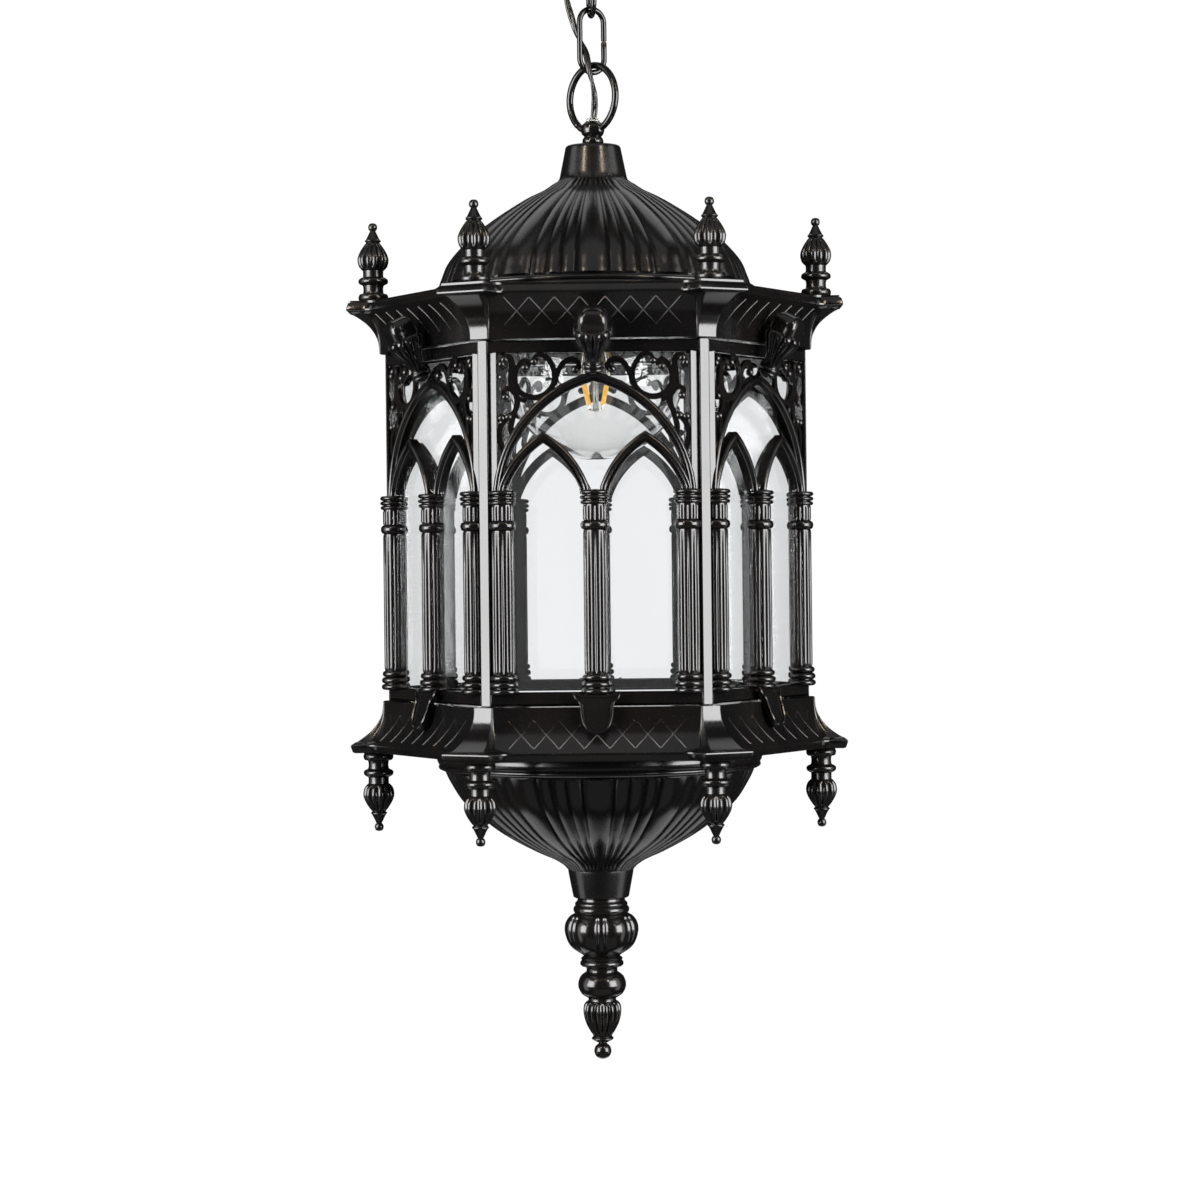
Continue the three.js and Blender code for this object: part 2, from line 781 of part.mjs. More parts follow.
const lantern = new THREE.Group();
lantern.add(
  node("suspension_ball", suspensionBall(), blackPaint),
  node("wire_grommet", wireGrommet(), zincSteel),
  node("top_nipple", topNipple(), zincSteel),
  node("nipple_nut", nippleNut(), zincSteel),
  node("dome", dome(), blackPaint),
  node("upper_cornice", cornice(UPPER_CORNICE), blackPaint),
  node("lower_cornice", cornice(LOWER_CORNICE), blackPaint),
  node("bowl", bowl(), blackPaint),
  node("set_screw", setScrew(), zincSteel),
  node("bottom_finial", bottomFinial(), blackPaint),
  node("lamp_holder", lampHolder(), porcelain),
  node("bulb_cap", bulbCap(), nickel),
  node("bulb_globe", bulbGlobe(), bulbGlass),
  node("bulb_filament", bulbFilament(), amberPhosphor),
);

// Faces are numbered from the front, corners from the right-hand side, both counter-clockwise from above.
const panelShape = panel();
const paneShape = pane();
const corbelShape = corbel();
for (let k = 0; k < SIDES; k++) {
  const turn = k * CORNER_STEP;
  lantern.add(
    node(`panel_${k + 1}`, panelShape, blackPaint, turn),
    node(`pane_${k + 1}`, paneShape, clearGlass, turn),
    node(`corbel_${k + 1}`, corbelShape, blackPaint, turn),
  );
}

const postShape = cornerPost();
const finialShape = cornerFinial();
for (let k = 0; k < SIDES; k++) {
  const turn = k * CORNER_STEP;
  lantern.add(node(`corner_post_${k + 1}`, postShape, blackPaint, turn));
  const upper = node(`top_finial_${k + 1}`, finialShape, blackPaint);
  const lower = node(`drop_finial_${k + 1}`, finialShape, blackPaint);
  const x = FINIAL_CIRCLE * Math.cos(turn);
  const y = FINIAL_CIRCLE * Math.sin(turn);
  upper.position.set(x, y, UPPER_CORNICE.plateOuter + GAP);
  lower.position.set(x, y, LOWER_CORNICE.plateOuter - GAP);
  lower.rotation.x = Math.PI;
  lantern.add(upper, lower);
}

const hangingLantern = new THREE.Group();
const fromTip = new THREE.Group();
fromTip.position.z = -CEILING;
fromTip.add(ceilingSet, chain, lantern);
hangingLantern.add(fromTip);

export default hangingLantern;
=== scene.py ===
"""Gothic hanging lantern: the looks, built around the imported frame.

Shapes are drawn in millimetres, with heights counted from the tip of the bottom finial, and TO_FRAME brings
them into the frame's metres. Faces are numbered from the front and corners from the right-hand side, both
counter-clockwise from above, as in the frame.
"""

import math

import bmesh
import bpy
from mathutils import Matrix, Vector


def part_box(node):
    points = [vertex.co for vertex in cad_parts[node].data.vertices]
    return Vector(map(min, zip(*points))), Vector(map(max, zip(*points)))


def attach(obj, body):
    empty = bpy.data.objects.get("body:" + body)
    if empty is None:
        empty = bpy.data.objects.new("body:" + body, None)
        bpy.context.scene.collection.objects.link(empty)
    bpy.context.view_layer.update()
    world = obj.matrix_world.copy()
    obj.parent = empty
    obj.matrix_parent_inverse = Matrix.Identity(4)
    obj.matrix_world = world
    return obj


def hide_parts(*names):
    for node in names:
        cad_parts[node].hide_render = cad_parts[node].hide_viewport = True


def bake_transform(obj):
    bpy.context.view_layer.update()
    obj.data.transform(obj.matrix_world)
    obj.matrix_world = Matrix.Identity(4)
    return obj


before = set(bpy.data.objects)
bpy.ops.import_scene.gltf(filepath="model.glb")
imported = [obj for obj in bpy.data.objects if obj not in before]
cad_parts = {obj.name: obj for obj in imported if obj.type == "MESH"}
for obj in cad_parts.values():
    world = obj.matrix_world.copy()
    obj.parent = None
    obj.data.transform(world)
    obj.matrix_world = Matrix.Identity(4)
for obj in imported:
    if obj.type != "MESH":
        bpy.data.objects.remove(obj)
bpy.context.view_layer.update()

MM = 0.001
BALL_BELOW_TIP = 0.6 * MM
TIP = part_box("bottom_finial")[0].z + BALL_BELOW_TIP
TO_FRAME = Matrix.Translation((0, 0, TIP)) @ Matrix.Scale(MM, 4)
CEILING = -TIP / MM

SIDES = 6
CORNER_STEP = math.tau / SIDES
HALF_STEP = CORNER_STEP / 2


# ---- camera -------------------------------------------------------------------------------------
CAMERA_DISTANCE = 1.909
CAMERA_HEIGHT = TIP + 0.2954
CAMERA_ROUND = math.radians(0.6)
CAMERA_ROLL = math.radians(0.63)
CAMERA_LENS = 94.6
CAMERA_SHIFT = (0.002, -0.025)


def set_camera():
    """A level camera in front of the windows, turned a little and tipped on its side a little."""
    data = bpy.data.cameras.new("camera")
    data.lens = CAMERA_LENS
    data.sensor_width = 36
    data.shift_x, data.shift_y = CAMERA_SHIFT
    camera = bpy.data.objects.new("camera", data)
    bpy.context.scene.collection.objects.link(camera)
    across = CAMERA_DISTANCE * math.sin(CAMERA_ROUND)
    back = CAMERA_DISTANCE * math.cos(CAMERA_ROUND)
    camera.location = (across, -back, CAMERA_HEIGHT)
    camera.rotation_euler = (math.pi / 2, CAMERA_ROLL, CAMERA_ROUND)
    bpy.context.scene.camera = camera


set_camera()


# ---- modelling helpers --------------------------------------------------------------------------
def smooth_run(points, steps=6):
    """A smooth run through the points."""
    held = [points[0], *points, points[-1]]
    run = []
    for before, a, b, after in zip(held, held[1:], held[2:], held[3:]):
        for i in range(steps):
            t = i / steps
            run.append(
                tuple(
                    q + 0.5 * t * (r - p + t * (2 * p - 5 * q + 4 * r - s + t * (3 * q - p - 3 * r + s)))
                    for p, q, r, s in zip(before, a, b, after)
                )
            )
    return [*run, points[-1]]


def arc(centre, radius, start, end, steps):
    """Points on a circle between two angles in degrees."""
    angles = [math.radians(start + (end - start) * i / steps) for i in range(steps + 1)]
    return [(centre[0] + radius * math.cos(a), centre[1] + radius * math.sin(a)) for a in angles]


def round_section(radius, sides):
    """A round section that starts and ends beside the X axis."""
    return [
        (radius * math.cos(math.tau * (i + 0.5) / sides), radius * math.sin(math.tau * (i + 0.5) / sides))
        for i in range(sides)
    ]


def outward(bm):
    """Merges doubled vertices, then turns every face outwards."""
    bmesh.ops.remove_doubles(bm, verts=bm.verts, dist=1e-4)
    bmesh.ops.recalc_face_normals(bm, faces=bm.faces)
    return bm


def turned(profile, steps):
    """A piece turned about +Z from [radius, height] points."""
    bm = bmesh.new()
    verts = [bm.verts.new((r, 0, z)) for r, z in profile]
    edges = [bm.edges.new(pair) for pair in zip(verts, verts[1:])]
    bmesh.ops.spin(
        bm,
        geom=[*verts, *edges],
        cent=(0, 0, 0),
        axis=(0, 0, 1),
        angle=math.tau,
        steps=steps,
        use_merge=True,
    )
    return outward(bm)


def turned_tube(profile, steps):
    """The same for a hollow piece whose profile closes on itself."""
    return turned([*profile, profile[0]], steps)


def reshape(bm, radius_at):
    """Moves each vertex out or in: radius_at gives the new radius from angle, radius and height."""
    for v in bm.verts:
        r = math.hypot(v.co.x, v.co.y)
        if r > 0.05:
            share = radius_at(math.atan2(v.co.y, v.co.x), r, v.co.z) / r
            v.co.x *= share
            v.co.y *= share
    return bm


def fade(value, low, high):
    """0 at low, 1 at high, smooth between."""
    t = min(max((value - low) / (high - low), 0), 1)
    return t * t * (3 - 2 * t)


def mixed(a, b, t):
    """From a at 0 to b at 1."""
    return a + (b - a) * t


def stations(points, closed=False):
    """A frame at each point of a path: X across, Y out, Z along it.

    On an upright path Y points to the front.
    """
    spots = [Vector(p) for p in points]
    last = len(spots) - 1
    places = []
    across = None
    for i, spot in enumerate(spots):
        to = spots[(i + 1) % len(spots)] - spot if i < last or closed else None
        came = spot - spots[i - 1] if i or closed else None
        to = to or came
        came = came or to
        to, came = to.normalized(), came.normalized()
        along = (to + came).normalized()
        if across is None:
            side = Vector((0, 1, 0)) if abs(along.y) < 0.9 else Vector((1, 0, 0))
            across = along.cross(side).normalized()
        across = (across - along * across.dot(along)).normalized()
        out = along.cross(across)
        mitre = 1 / max(math.sqrt((1 + to.dot(came)) / 2), 0.6)
        place = Matrix((across * mitre, out, along)).transposed().to_4x4()
        place.translation = spot
        places.append(place)
    return places


def swept(bm, points, section, closed=False, sizes=None):
    """Draws a section along a path, with its own size at each point where sizes are given."""
    places = stations(points, closed)
    if sizes:
        places = [p @ Matrix.Diagonal((s, s, 1, 1)) for p, s in zip(places, sizes)]
    ring = [bm.verts.new((u, v, 0)) for u, v in section]
    edges = [bm.edges.new((a, b)) for a, b in zip(ring, [*ring[1:], ring[0]])]
    first = edges
    if not closed:
        bmesh.ops.contextual_create(bm, geom=edges)
    bmesh.ops.transform(bm, matrix=places[0], verts=ring)
    for before, after in zip(places, places[1:]):
        made = bmesh.ops.extrude_edge_only(bm, edges=edges)["geom"]
        ring = [g for g in made if isinstance(g, bmesh.types.BMVert)]
        fresh = set(ring)
        edges = [g for g in made if isinstance(g, bmesh.types.BMEdge) and set(g.verts) <= fresh]
        bmesh.ops.transform(bm, matrix=after @ before.inverted(), verts=ring)
    if closed:
        bmesh.ops.bridge_loops(bm, edges=[*first, *edges])
    else:
        bmesh.ops.contextual_create(bm, geom=edges)


def block(bm, low, high, bevel=0.5):
    """A box between two corners with softened edges."""
    known = set(bm.faces)
    made = bmesh.ops.create_cube(bm, size=1)["verts"]
    size = [b - a for a, b in zip(low, high)]
    middle = [(a + b) / 2 for a, b in zip(low, high)]
    bmesh.ops.scale(bm, vec=size, verts=made)
    bmesh.ops.translate(bm, vec=middle, verts=made)
    soften(bm, dict.fromkeys(e for v in made for e in v.link_edges), bevel)
    hold_flat(bm, known, bevel)


def soften(bm, edges, width, segments=2):
    """Rounds the edges over."""
    bmesh.ops.bevel(
        bm,
        geom=list(edges),
        offset=width,
        offset_type="OFFSET",
        affect="EDGES",
        segments=segments,
        profile=0.5,
        material=-1,
    )


def hold_flat(bm, known, margin):
    """Insets the new broad faces a little, so that they stay flat up to their softened edges."""
    broad = [f for f in bm.faces if f not in known and f.calc_area() > 60 * margin * margin]
    bmesh.ops.inset_individual(bm, faces=broad, thickness=margin, use_even_offset=True)


POST_BEVEL = 0.35


def post(bm, plan, low, high):
    """An upright bar from an (x, y) plan, between two heights."""
    known = set(bm.faces)
    face = bm.faces.new([bm.verts.new((x, y, low)) for x, y in plan])
    made = bmesh.ops.extrude_face_region(bm, geom=[face], use_keep_orig=True)["geom"]
    top = [g for g in made if isinstance(g, bmesh.types.BMVert)]
    bmesh.ops.translate(bm, vec=(0, 0, high - low), verts=top)
    around = [f for f in bm.faces if f not in known]
    soften(bm, dict.fromkeys(e for f in around for e in f.edges), POST_BEVEL)
    hold_flat(bm, known, POST_BEVEL)


def moved(bm, spot=(0, 0, 0), turn=0, axis="Z"):
    """Turns the whole bmesh about an axis, then moves it."""
    bmesh.ops.rotate(bm, matrix=Matrix.Rotation(turn, 3, axis), verts=bm.verts)
    bmesh.ops.translate(bm, vec=spot, verts=bm.verts)
    return bm


def lofted(rings):
    """A closed shell through rings of equally many points, from the last back to the first."""
    bm = bmesh.new()
    loops = []
    for ring in rings:
        verts = [bm.verts.new(p) for p in ring]
        loops.append([bm.edges.new((a, b)) for a, b in zip(verts, [*verts[1:], verts[0]])])
    for a, b in zip(loops, [*loops[1:], loops[0]]):
        bmesh.ops.bridge_loops(bm, edges=[*a, *b])
    return outward(bm)


def add_to(bm, other):
    """Puts the other bmesh into this one."""
    mesh = bpy.data.meshes.new("part")
    other.to_mesh(mesh)
    other.free()
    bm.from_mesh(mesh)
    bpy.data.meshes.remove(mesh)


def skin(bm, name, coat, crease=35, place=TO_FRAME):
    """The bmesh as a mesh in the frame, smooth except over its sharper edges."""
    bmesh.ops.transform(bm, matrix=place, verts=bm.verts)
    mesh = bpy.data.meshes.new(name)
    bm.to_mesh(mesh)
    bm.free()
    mesh.materials.append(coat)
    mesh.shade_smooth()
    mesh.set_sharp_from_angle(angle=math.radians(crease))
    return mesh


def fit(mesh, name, body, nodes=()):
    """The mesh as a piece that rides on a body and stands for CAD nodes."""
    obj = bpy.data.objects.new(name, mesh)
    bpy.context.scene.collection.objects.link(obj)
    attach(obj, body)
    if nodes:
        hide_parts(*nodes)
    return obj


def piece(bm, name, coat, body, nodes=(), crease=35):
    """Skins the bmesh and fits it."""
    return fit(skin(bm, name, coat, crease), name, body, nodes)


def placed_copy(mesh, name, matrix):
    """A copy of the mesh in another place."""
    copy = mesh.copy()
    copy.name = name
    copy.transform(matrix)
    return copy


# ---- effects shared by the finishes -------------------------------------------------------------
def feed(tree, socket, value):
    """Links the socket to another one, or sets its value."""
    if isinstance(value, bpy.types.NodeSocket):
        tree.links.new(value, socket)
    else:
        socket.default_value = value


def give(tree, shader, **inputs):
    """Feeds a node's sockets; a name's underscores stand for the spaces in its socket."""
    for key, value in inputs.items():
        feed(tree, shader.inputs[key.replace("_", " ")], value)


def node(tree, kind, **inputs):
    """A shader node with its sockets fed."""
    made = tree.nodes.new(kind)
    give(tree, made, **inputs)
    return made


def worked(tree, operation, a, b, clamp=False):
    """Two values worked into one."""
    made = tree.nodes.new("ShaderNodeMath")
    made.operation = operation
    made.use_clamp = clamp
    feed(tree, made.inputs[0], a)
    feed(tree, made.inputs[1], b)
    return made.outputs[0]


def tinted(tree, mask, under, over):
    """One colour or socket over another where the mask is 1."""
    made = tree.nodes.new("ShaderNodeMix")
    made.data_type = "RGBA"
    feed(tree, made.inputs[0], mask)
    feed(tree, made.inputs[6], under)
    feed(tree, made.inputs[7], over)
    return made.outputs[2]


def toned(colour, share):
    """The colour made darker or lighter."""
    return (colour[0] * share, colour[1] * share, colour[2] * share, 1)


def ranged(tree, value, low, high, to_low=0.0, to_high=1.0):
    """The value's range from low to high, drawn onto another range."""
    made = node(tree, "ShaderNodeMapRange", Value=value, From_Min=low, From_Max=high)
    give(tree, made, To_Min=to_low, To_Max=to_high)
    return made.outputs["Result"]


def effect(name, inputs, outputs):
    """A node group with named inputs and outputs, and its two end nodes."""
    tree = bpy.data.node_groups.new(name, "ShaderNodeTree")
    for label, value in inputs.items():
        socket = tree.interface.new_socket(label, in_out="INPUT", socket_type="NodeSocketFloat")
        socket.default_value = value
    for label, kind in outputs.items():
        tree.interface.new_socket(label, in_out="OUTPUT", socket_type=kind)
    return tree, tree.nodes.new("NodeGroupInput"), tree.nodes.new("NodeGroupOutput")


def noise_at(tree, scale, detail, distortion=0.0):
    """Noise on the piece's own coordinates."""
    place = node(tree, "ShaderNodeTexCoord").outputs["Object"]
    made = node(tree, "ShaderNodeTexNoise", Vector=place, Scale=scale, Detail=detail, Distortion=distortion)
    return made.outputs["Fac"]


def make_orange_peel():
    """The fine dimpled skin of sprayed paint, over the slow waves of the casting below it."""
    tree, start, end = effect(
        "orange_peel",
        {"Dimple Scale": 900.0, "Dimples": 0.12, "Wave Scale": 60.0, "Waves": 0.2},
        {"Normal": "NodeSocketVector"},
    )
    waves = noise_at(tree, start.outputs["Wave Scale"], 2.0)
    dimples = noise_at(tree, start.outputs["Dimple Scale"], 1.0)
    slow = node(tree, "ShaderNodeBump", Strength=start.outputs["Waves"], Distance=0.002, Height=waves)
    fine = node(tree, "ShaderNodeBump", Strength=start.outputs["Dimples"], Distance=0.0004, Height=dimples)
    give(tree, fine, Normal=slow.outputs["Normal"])
    tree.links.new(fine.outputs["Normal"], end.inputs["Normal"])
    return tree


def make_edge_rub():
    """A broken mask on the raised edges, where a finish rubs through."""
    tree, start, end = effect(
        "edge_rub",
        {"From": 0.53, "Full": 0.6, "Patch Scale": 45.0, "Patch Cover": 0.5},
        {"Mask": "NodeSocketFloat"},
    )
    pointed = node(tree, "ShaderNodeNewGeometry").outputs["Pointiness"]
    raised = ranged(tree, pointed, start.outputs["From"], start.outputs["Full"])
    patches = noise_at(tree, start.outputs["Patch Scale"], 5.0, 0.4)
    cover = worked(tree, "SUBTRACT", 1.0, start.outputs["Patch Cover"])
    edge = worked(tree, "ADD", cover, 0.12)
    broken = ranged(tree, patches, cover, edge)
    tree.links.new(worked(tree, "MULTIPLY", raised, broken, clamp=True), end.inputs["Mask"])
    return tree


def make_speckle():
    """Small scattered flecks, such as dust caught in paint."""
    tree, start, end = effect(
        "speckle", {"Scale": 1400.0, "Cover": 0.3, "Softness": 0.08}, {"Mask": "NodeSocketFloat"}
    )
    grain = noise_at(tree, start.outputs["Scale"], 2.0)
    low = worked(tree, "SUBTRACT", 1.0, start.outputs["Cover"])
    high = worked(tree, "ADD", low, start.outputs["Softness"])
    tree.links.new(ranged(tree, grain, low, high), end.inputs["Mask"])
    return tree


def make_smudge():
    """A value that wanders between two ends, for a sheen that isn't the same all over."""
    tree, start, end = effect(
        "smudge", {"Scale": 18.0, "Low": 0.2, "High": 0.4}, {"Value": "NodeSocketFloat"}
    )
    cloud = noise_at(tree, start.outputs["Scale"], 4.0, 0.3)
    value = ranged(tree, cloud, 0.35, 0.65, start.outputs["Low"], start.outputs["High"])
    tree.links.new(value, end.inputs["Value"])
    return tree


ORANGE_PEEL = make_orange_peel()
EDGE_RUB = make_edge_rub()
SPECKLE = make_speckle()
SMUDGE = make_smudge()


def use(tree, group, **inputs):
    """A placed effect; gives its only output."""
    made = tree.nodes.new("ShaderNodeGroup")
    made.node_tree = group
    give(tree, made, **inputs)
    return made.outputs[0]


# ---- finishes -----------------------------------------------------------------------------------
def new_finish(name):
    """A material with its node tree and its shader."""
    material = bpy.data.materials.new(name)
    material.use_nodes = True
    tree = material.node_tree
    return material, tree, tree.nodes["Principled BSDF"]


BLACK = (0.0022, 0.0021, 0.0023, 1)
BLACK_WARM = (0.0042, 0.0036, 0.0033, 1)
BRONZE = (0.34, 0.2, 0.12, 1)


def casting_paint(name, gloss, dull):
    """Black paint sprayed over cast aluminium, with warm metal showing at the rubbed edges."""
    material, tree, shader = new_finish(name)
    peel = use(tree, ORANGE_PEEL, Dimple_Scale=1100.0, Dimples=0.06, Wave_Scale=60.0, Waves=0.035)
    rub = use(tree, EDGE_RUB, From=0.6, Full=0.74, Patch_Scale=55.0, Patch_Cover=0.5)
    dust = use(tree, SPECKLE, Scale=1500.0, Cover=0.34, Softness=0.05)
    tone = use(tree, SMUDGE, Scale=25.0, Low=0.0, High=1.0)
    flecks = worked(tree, "MULTIPLY", dust, 0.12)
    worn = worked(tree, "MULTIPLY", rub, 0.6)
    base = tinted(tree, tone, BLACK, BLACK_WARM)
    base = tinted(tree, flecks, base, (0.02, 0.018, 0.016, 1))
    base = tinted(tree, worn, base, BRONZE)
    sheen = use(tree, SMUDGE, Scale=30.0, Low=gloss, High=dull)
    give(
        tree,
        shader,
        Base_Color=base,
        Metallic=worked(tree, "MULTIPLY", worn, 0.8),
        Roughness=worked(tree, "ADD", sheen, flecks),
        Normal=peel,
    )
    return material


def wire_enamel():
    """Glossy black enamel on bent steel wire."""
    material, tree, shader = new_finish("wire_enamel")
    peel = use(tree, ORANGE_PEEL, Dimple_Scale=1500.0, Dimples=0.025, Wave_Scale=160.0, Waves=0.02)
    rub = use(tree, EDGE_RUB, From=0.74, Full=0.86, Patch_Scale=220.0, Patch_Cover=0.4)
    tone = use(tree, SMUDGE, Scale=120.0, Low=0.0, High=1.0)
    base = tinted(tree, tone, BLACK, (0.005, 0.0045, 0.004, 1))
    give(
        tree,
        shader,
        Base_Color=tinted(tree, worked(tree, "MULTIPLY", rub, 0.4), base, BRONZE),
        Roughness=use(tree, SMUDGE, Scale=90.0, Low=0.12, High=0.18),
        Specular_IOR_Level=0.36,
        Normal=peel,
    )
    return material


def bare_metal(name, colour, dull, rough):
    """Plated metal that has dulled in patches."""
    material, tree, shader = new_finish(name)
    peel = use(tree, ORANGE_PEEL, Dimple_Scale=2400.0, Dimples=0.1, Wave_Scale=150.0, Waves=0.06)
    patch = use(tree, SMUDGE, Scale=70.0, Low=0.0, High=1.0)
    flecks = use(tree, SPECKLE, Scale=1800.0, Cover=0.3, Softness=0.06)
    base = tinted(tree, patch, colour, dull)
    give(
        tree,
        shader,
        Base_Color=tinted(tree, worked(tree, "MULTIPLY", flecks, 0.3), base, dull),
        Metallic=1.0,
        Roughness=use(tree, SMUDGE, Scale=60.0, Low=rough, High=rough + 0.16),
        Normal=peel,
    )
    return material


def glazed_porcelain():
    """Cream porcelain under a clear glaze, with a few burnt specks."""
    material, tree, shader = new_finish("glazed_porcelain")
    peel = use(tree, ORANGE_PEEL, Dimple_Scale=600.0, Dimples=0.06, Wave_Scale=90.0, Waves=0.15)
    tone = use(tree, SMUDGE, Scale=60.0, Low=0.0, High=1.0)
    flecks = use(tree, SPECKLE, Scale=900.0, Cover=0.27, Softness=0.03)
    base = tinted(tree, tone, (0.82, 0.79, 0.71, 1), (0.7, 0.66, 0.57, 1))
    give(
        tree,
        shader,
        Base_Color=tinted(tree, worked(tree, "MULTIPLY", flecks, 0.5), base, (0.35, 0.3, 0.24, 1)),
        Roughness=use(tree, SMUDGE, Scale=40.0, Low=0.12, High=0.25),
        Normal=peel,
    )
    return material


def clear_glass(name, colour, waves, rough=0.01):
    """Clear glass with a slow ripple."""
    material, tree, shader = new_finish(name)
    peel = use(tree, ORANGE_PEEL, Dimple_Scale=300.0, Dimples=0.0, Wave_Scale=9.0, Waves=waves)
    tone = use(tree, SMUDGE, Scale=12.0, Low=0.0, High=1.0)
    give(
        tree,
        shader,
        Base_Color=tinted(tree, tone, colour, toned(colour, 0.985)),
        Roughness=use(tree, SMUDGE, Scale=30.0, Low=rough * 0.3, High=rough),
        Transmission_Weight=1.0,
        IOR=1.46,
        Normal=peel,
    )
    return material


def amber_phosphor_painted_glow():
    """The grainy yellow coating of a filament stick, with a faint painted glow that makes it brighter than the
    lights alone would.
    """
    material, tree, shader = new_finish("amber_phosphor_painted_glow")
    grain = use(tree, SPECKLE, Scale=2500.0, Cover=0.5, Softness=0.2)
    tone = use(tree, SMUDGE, Scale=160.0, Low=0.0, High=1.0)
    base = tinted(tree, tone, (0.9, 0.5, 0.05, 1), (0.84, 0.42, 0.03, 1))
    colour = tinted(tree, worked(tree, "MULTIPLY", grain, 0.4), base, (1.0, 0.64, 0.14, 1))
    give(
        tree,
        shader,
        Base_Color=colour,
        Roughness=0.55,
        # painted glow: a faint emission in the coating's own colour brightens the sticks
        Emission_Color=colour,
        Emission_Strength=0.7,
    )
    return material


def moulded_rubber(name, colour, rough):
    """Soft black plastic, with the faint haze of its mould."""
    material, tree, shader = new_finish(name)
    peel = use(tree, ORANGE_PEEL, Dimple_Scale=2000.0, Dimples=0.03, Wave_Scale=250.0, Waves=0.02)
    flecks = use(tree, SPECKLE, Scale=1600.0, Cover=0.33, Softness=0.08)
    tone = use(tree, SMUDGE, Scale=90.0, Low=0.0, High=1.0)
    base = tinted(tree, tone, colour, toned(colour, 1.7))
    give(
        tree,
        shader,
        Base_Color=tinted(tree, worked(tree, "MULTIPLY", flecks, 0.15), base, (0.03, 0.028, 0.026, 1)),
        Roughness=use(tree, SMUDGE, Scale=70.0, Low=rough, High=rough + 0.14),
        Normal=peel,
    )
    return material


PAINT = casting_paint("casting_paint", 0.15, 0.22)
SATIN_PAINT = casting_paint("satin_paint", 0.2, 0.26)
ENAMEL = wire_enamel()
ZINC = bare_metal("zinc_plate", (0.62, 0.62, 0.6, 1), (0.4, 0.38, 0.35, 1), 0.26)
NICKEL = bare_metal("nickel_plate", (0.72, 0.69, 0.62, 1), (0.5, 0.46, 0.4, 1), 0.16)
PORCELAIN = glazed_porcelain()
WINDOW_GLASS = clear_glass("window_glass", (0.94, 0.945, 0.95, 1), 0.0004, 0.004)
BULB_GLASS = clear_glass("bulb_glass", (0.99, 0.995, 0.992, 1), 0.0004, 0.004)
STEM_GLASS = clear_glass("stem_glass", (0.9, 0.93, 0.92, 1), 0.03)
GROMMET_PLASTIC = clear_glass("grommet_plastic", (0.85, 0.85, 0.8, 1), 0.08, 0.12)
PHOSPHOR_WITH_PAINTED_GLOW = amber_phosphor_painted_glow()
SHEATH = moulded_rubber("cord_sheath", (0.003, 0.0028, 0.0027, 1), 0.2)
RUBBER = moulded_rubber("bushing_rubber", (0.02, 0.019, 0.018, 1), 0.45)


# ---- the cord -----------------------------------------------------------------------------------
# The route, in metres, from the canopy bushing through the chain to the grommet on the ball.
CORD_ROUTE = [
    (-0.0210, 0.0040, TIP + 0.6935),
    (-0.0210, 0.0040, TIP + 0.6860),
    (-0.0206, 0.0040, TIP + 0.6780),
    (-0.0198, 0.0040, TIP + 0.6700),
    (-0.0188, 0.0040, TIP + 0.6620),
    (-0.0174, 0.0040, TIP + 0.6540),
    (-0.0158, 0.0038, TIP + 0.6460),
    (-0.0142, 0.0034, TIP + 0.6380),
    (-0.0120, 0.0026, TIP + 0.6300),
    (-0.0094, 0.0018, TIP + 0.6210),
    (-0.0064, 0.0006, TIP + 0.6150),
    (-0.0039, -0.0018, TIP + 0.6090),
    (-0.0026, -0.0047, TIP + 0.6025),
    (-0.0016, -0.0062, TIP + 0.5960),
    (0.0002, -0.0052, TIP + 0.5890),
    (0.0013, -0.0030, TIP + 0.5820),
    (0.0012, -0.0009, TIP + 0.5750),
    (0.0006, 0.0000, TIP + 0.5693),
]
CORD_WIDTH = 0.004
CORE_RADIUS = 0.00112
CORE_APART = CORD_WIDTH / 2 - CORE_RADIUS
WEB_HALF = 0.00075
CORD_TWIST = math.tau / 0.062
STEPS_PER_POINT = 5
# Each length of cord lies beside one joint, between the two bodies named, and ends where the next one starts.
# Its two numbers count the steps along the smoothed route.
CORD_LENGTHS = [
    ("cord_at_canopy", 0, 20, "ceiling_set", "upper_link"),
    ("cord_by_upper_link", 20, 40, "upper_link", "lower_link"),
    ("cord_through_lower_link", 40, 62, "lower_link", "ring"),
    ("cord_inside_ring", 62, 85, "ring", "lantern"),
]


def twin_section(sides=20):
    """Two round cores side by side with a web between them."""
    section = []
    for i in range(sides):
        a = math.tau * (i + 0.5) / sides
        across, through = abs(math.cos(a)), abs(math.sin(a))
        core = CORE_APART * across + math.sqrt(max(CORE_RADIUS**2 - (CORE_APART * through) ** 2, 0))
        web = WEB_HALF / through
        reach = max(core, web) if CORE_APART * through < CORE_RADIUS else web
        reach = min(reach, CORD_WIDTH / 2)
        section.append((reach * math.cos(a), reach * math.sin(a)))
    return section


def path_length(points):
    """The length of a path from point to point."""
    return sum((Vector(b) - Vector(a)).length for a, b in zip(points, points[1:]))


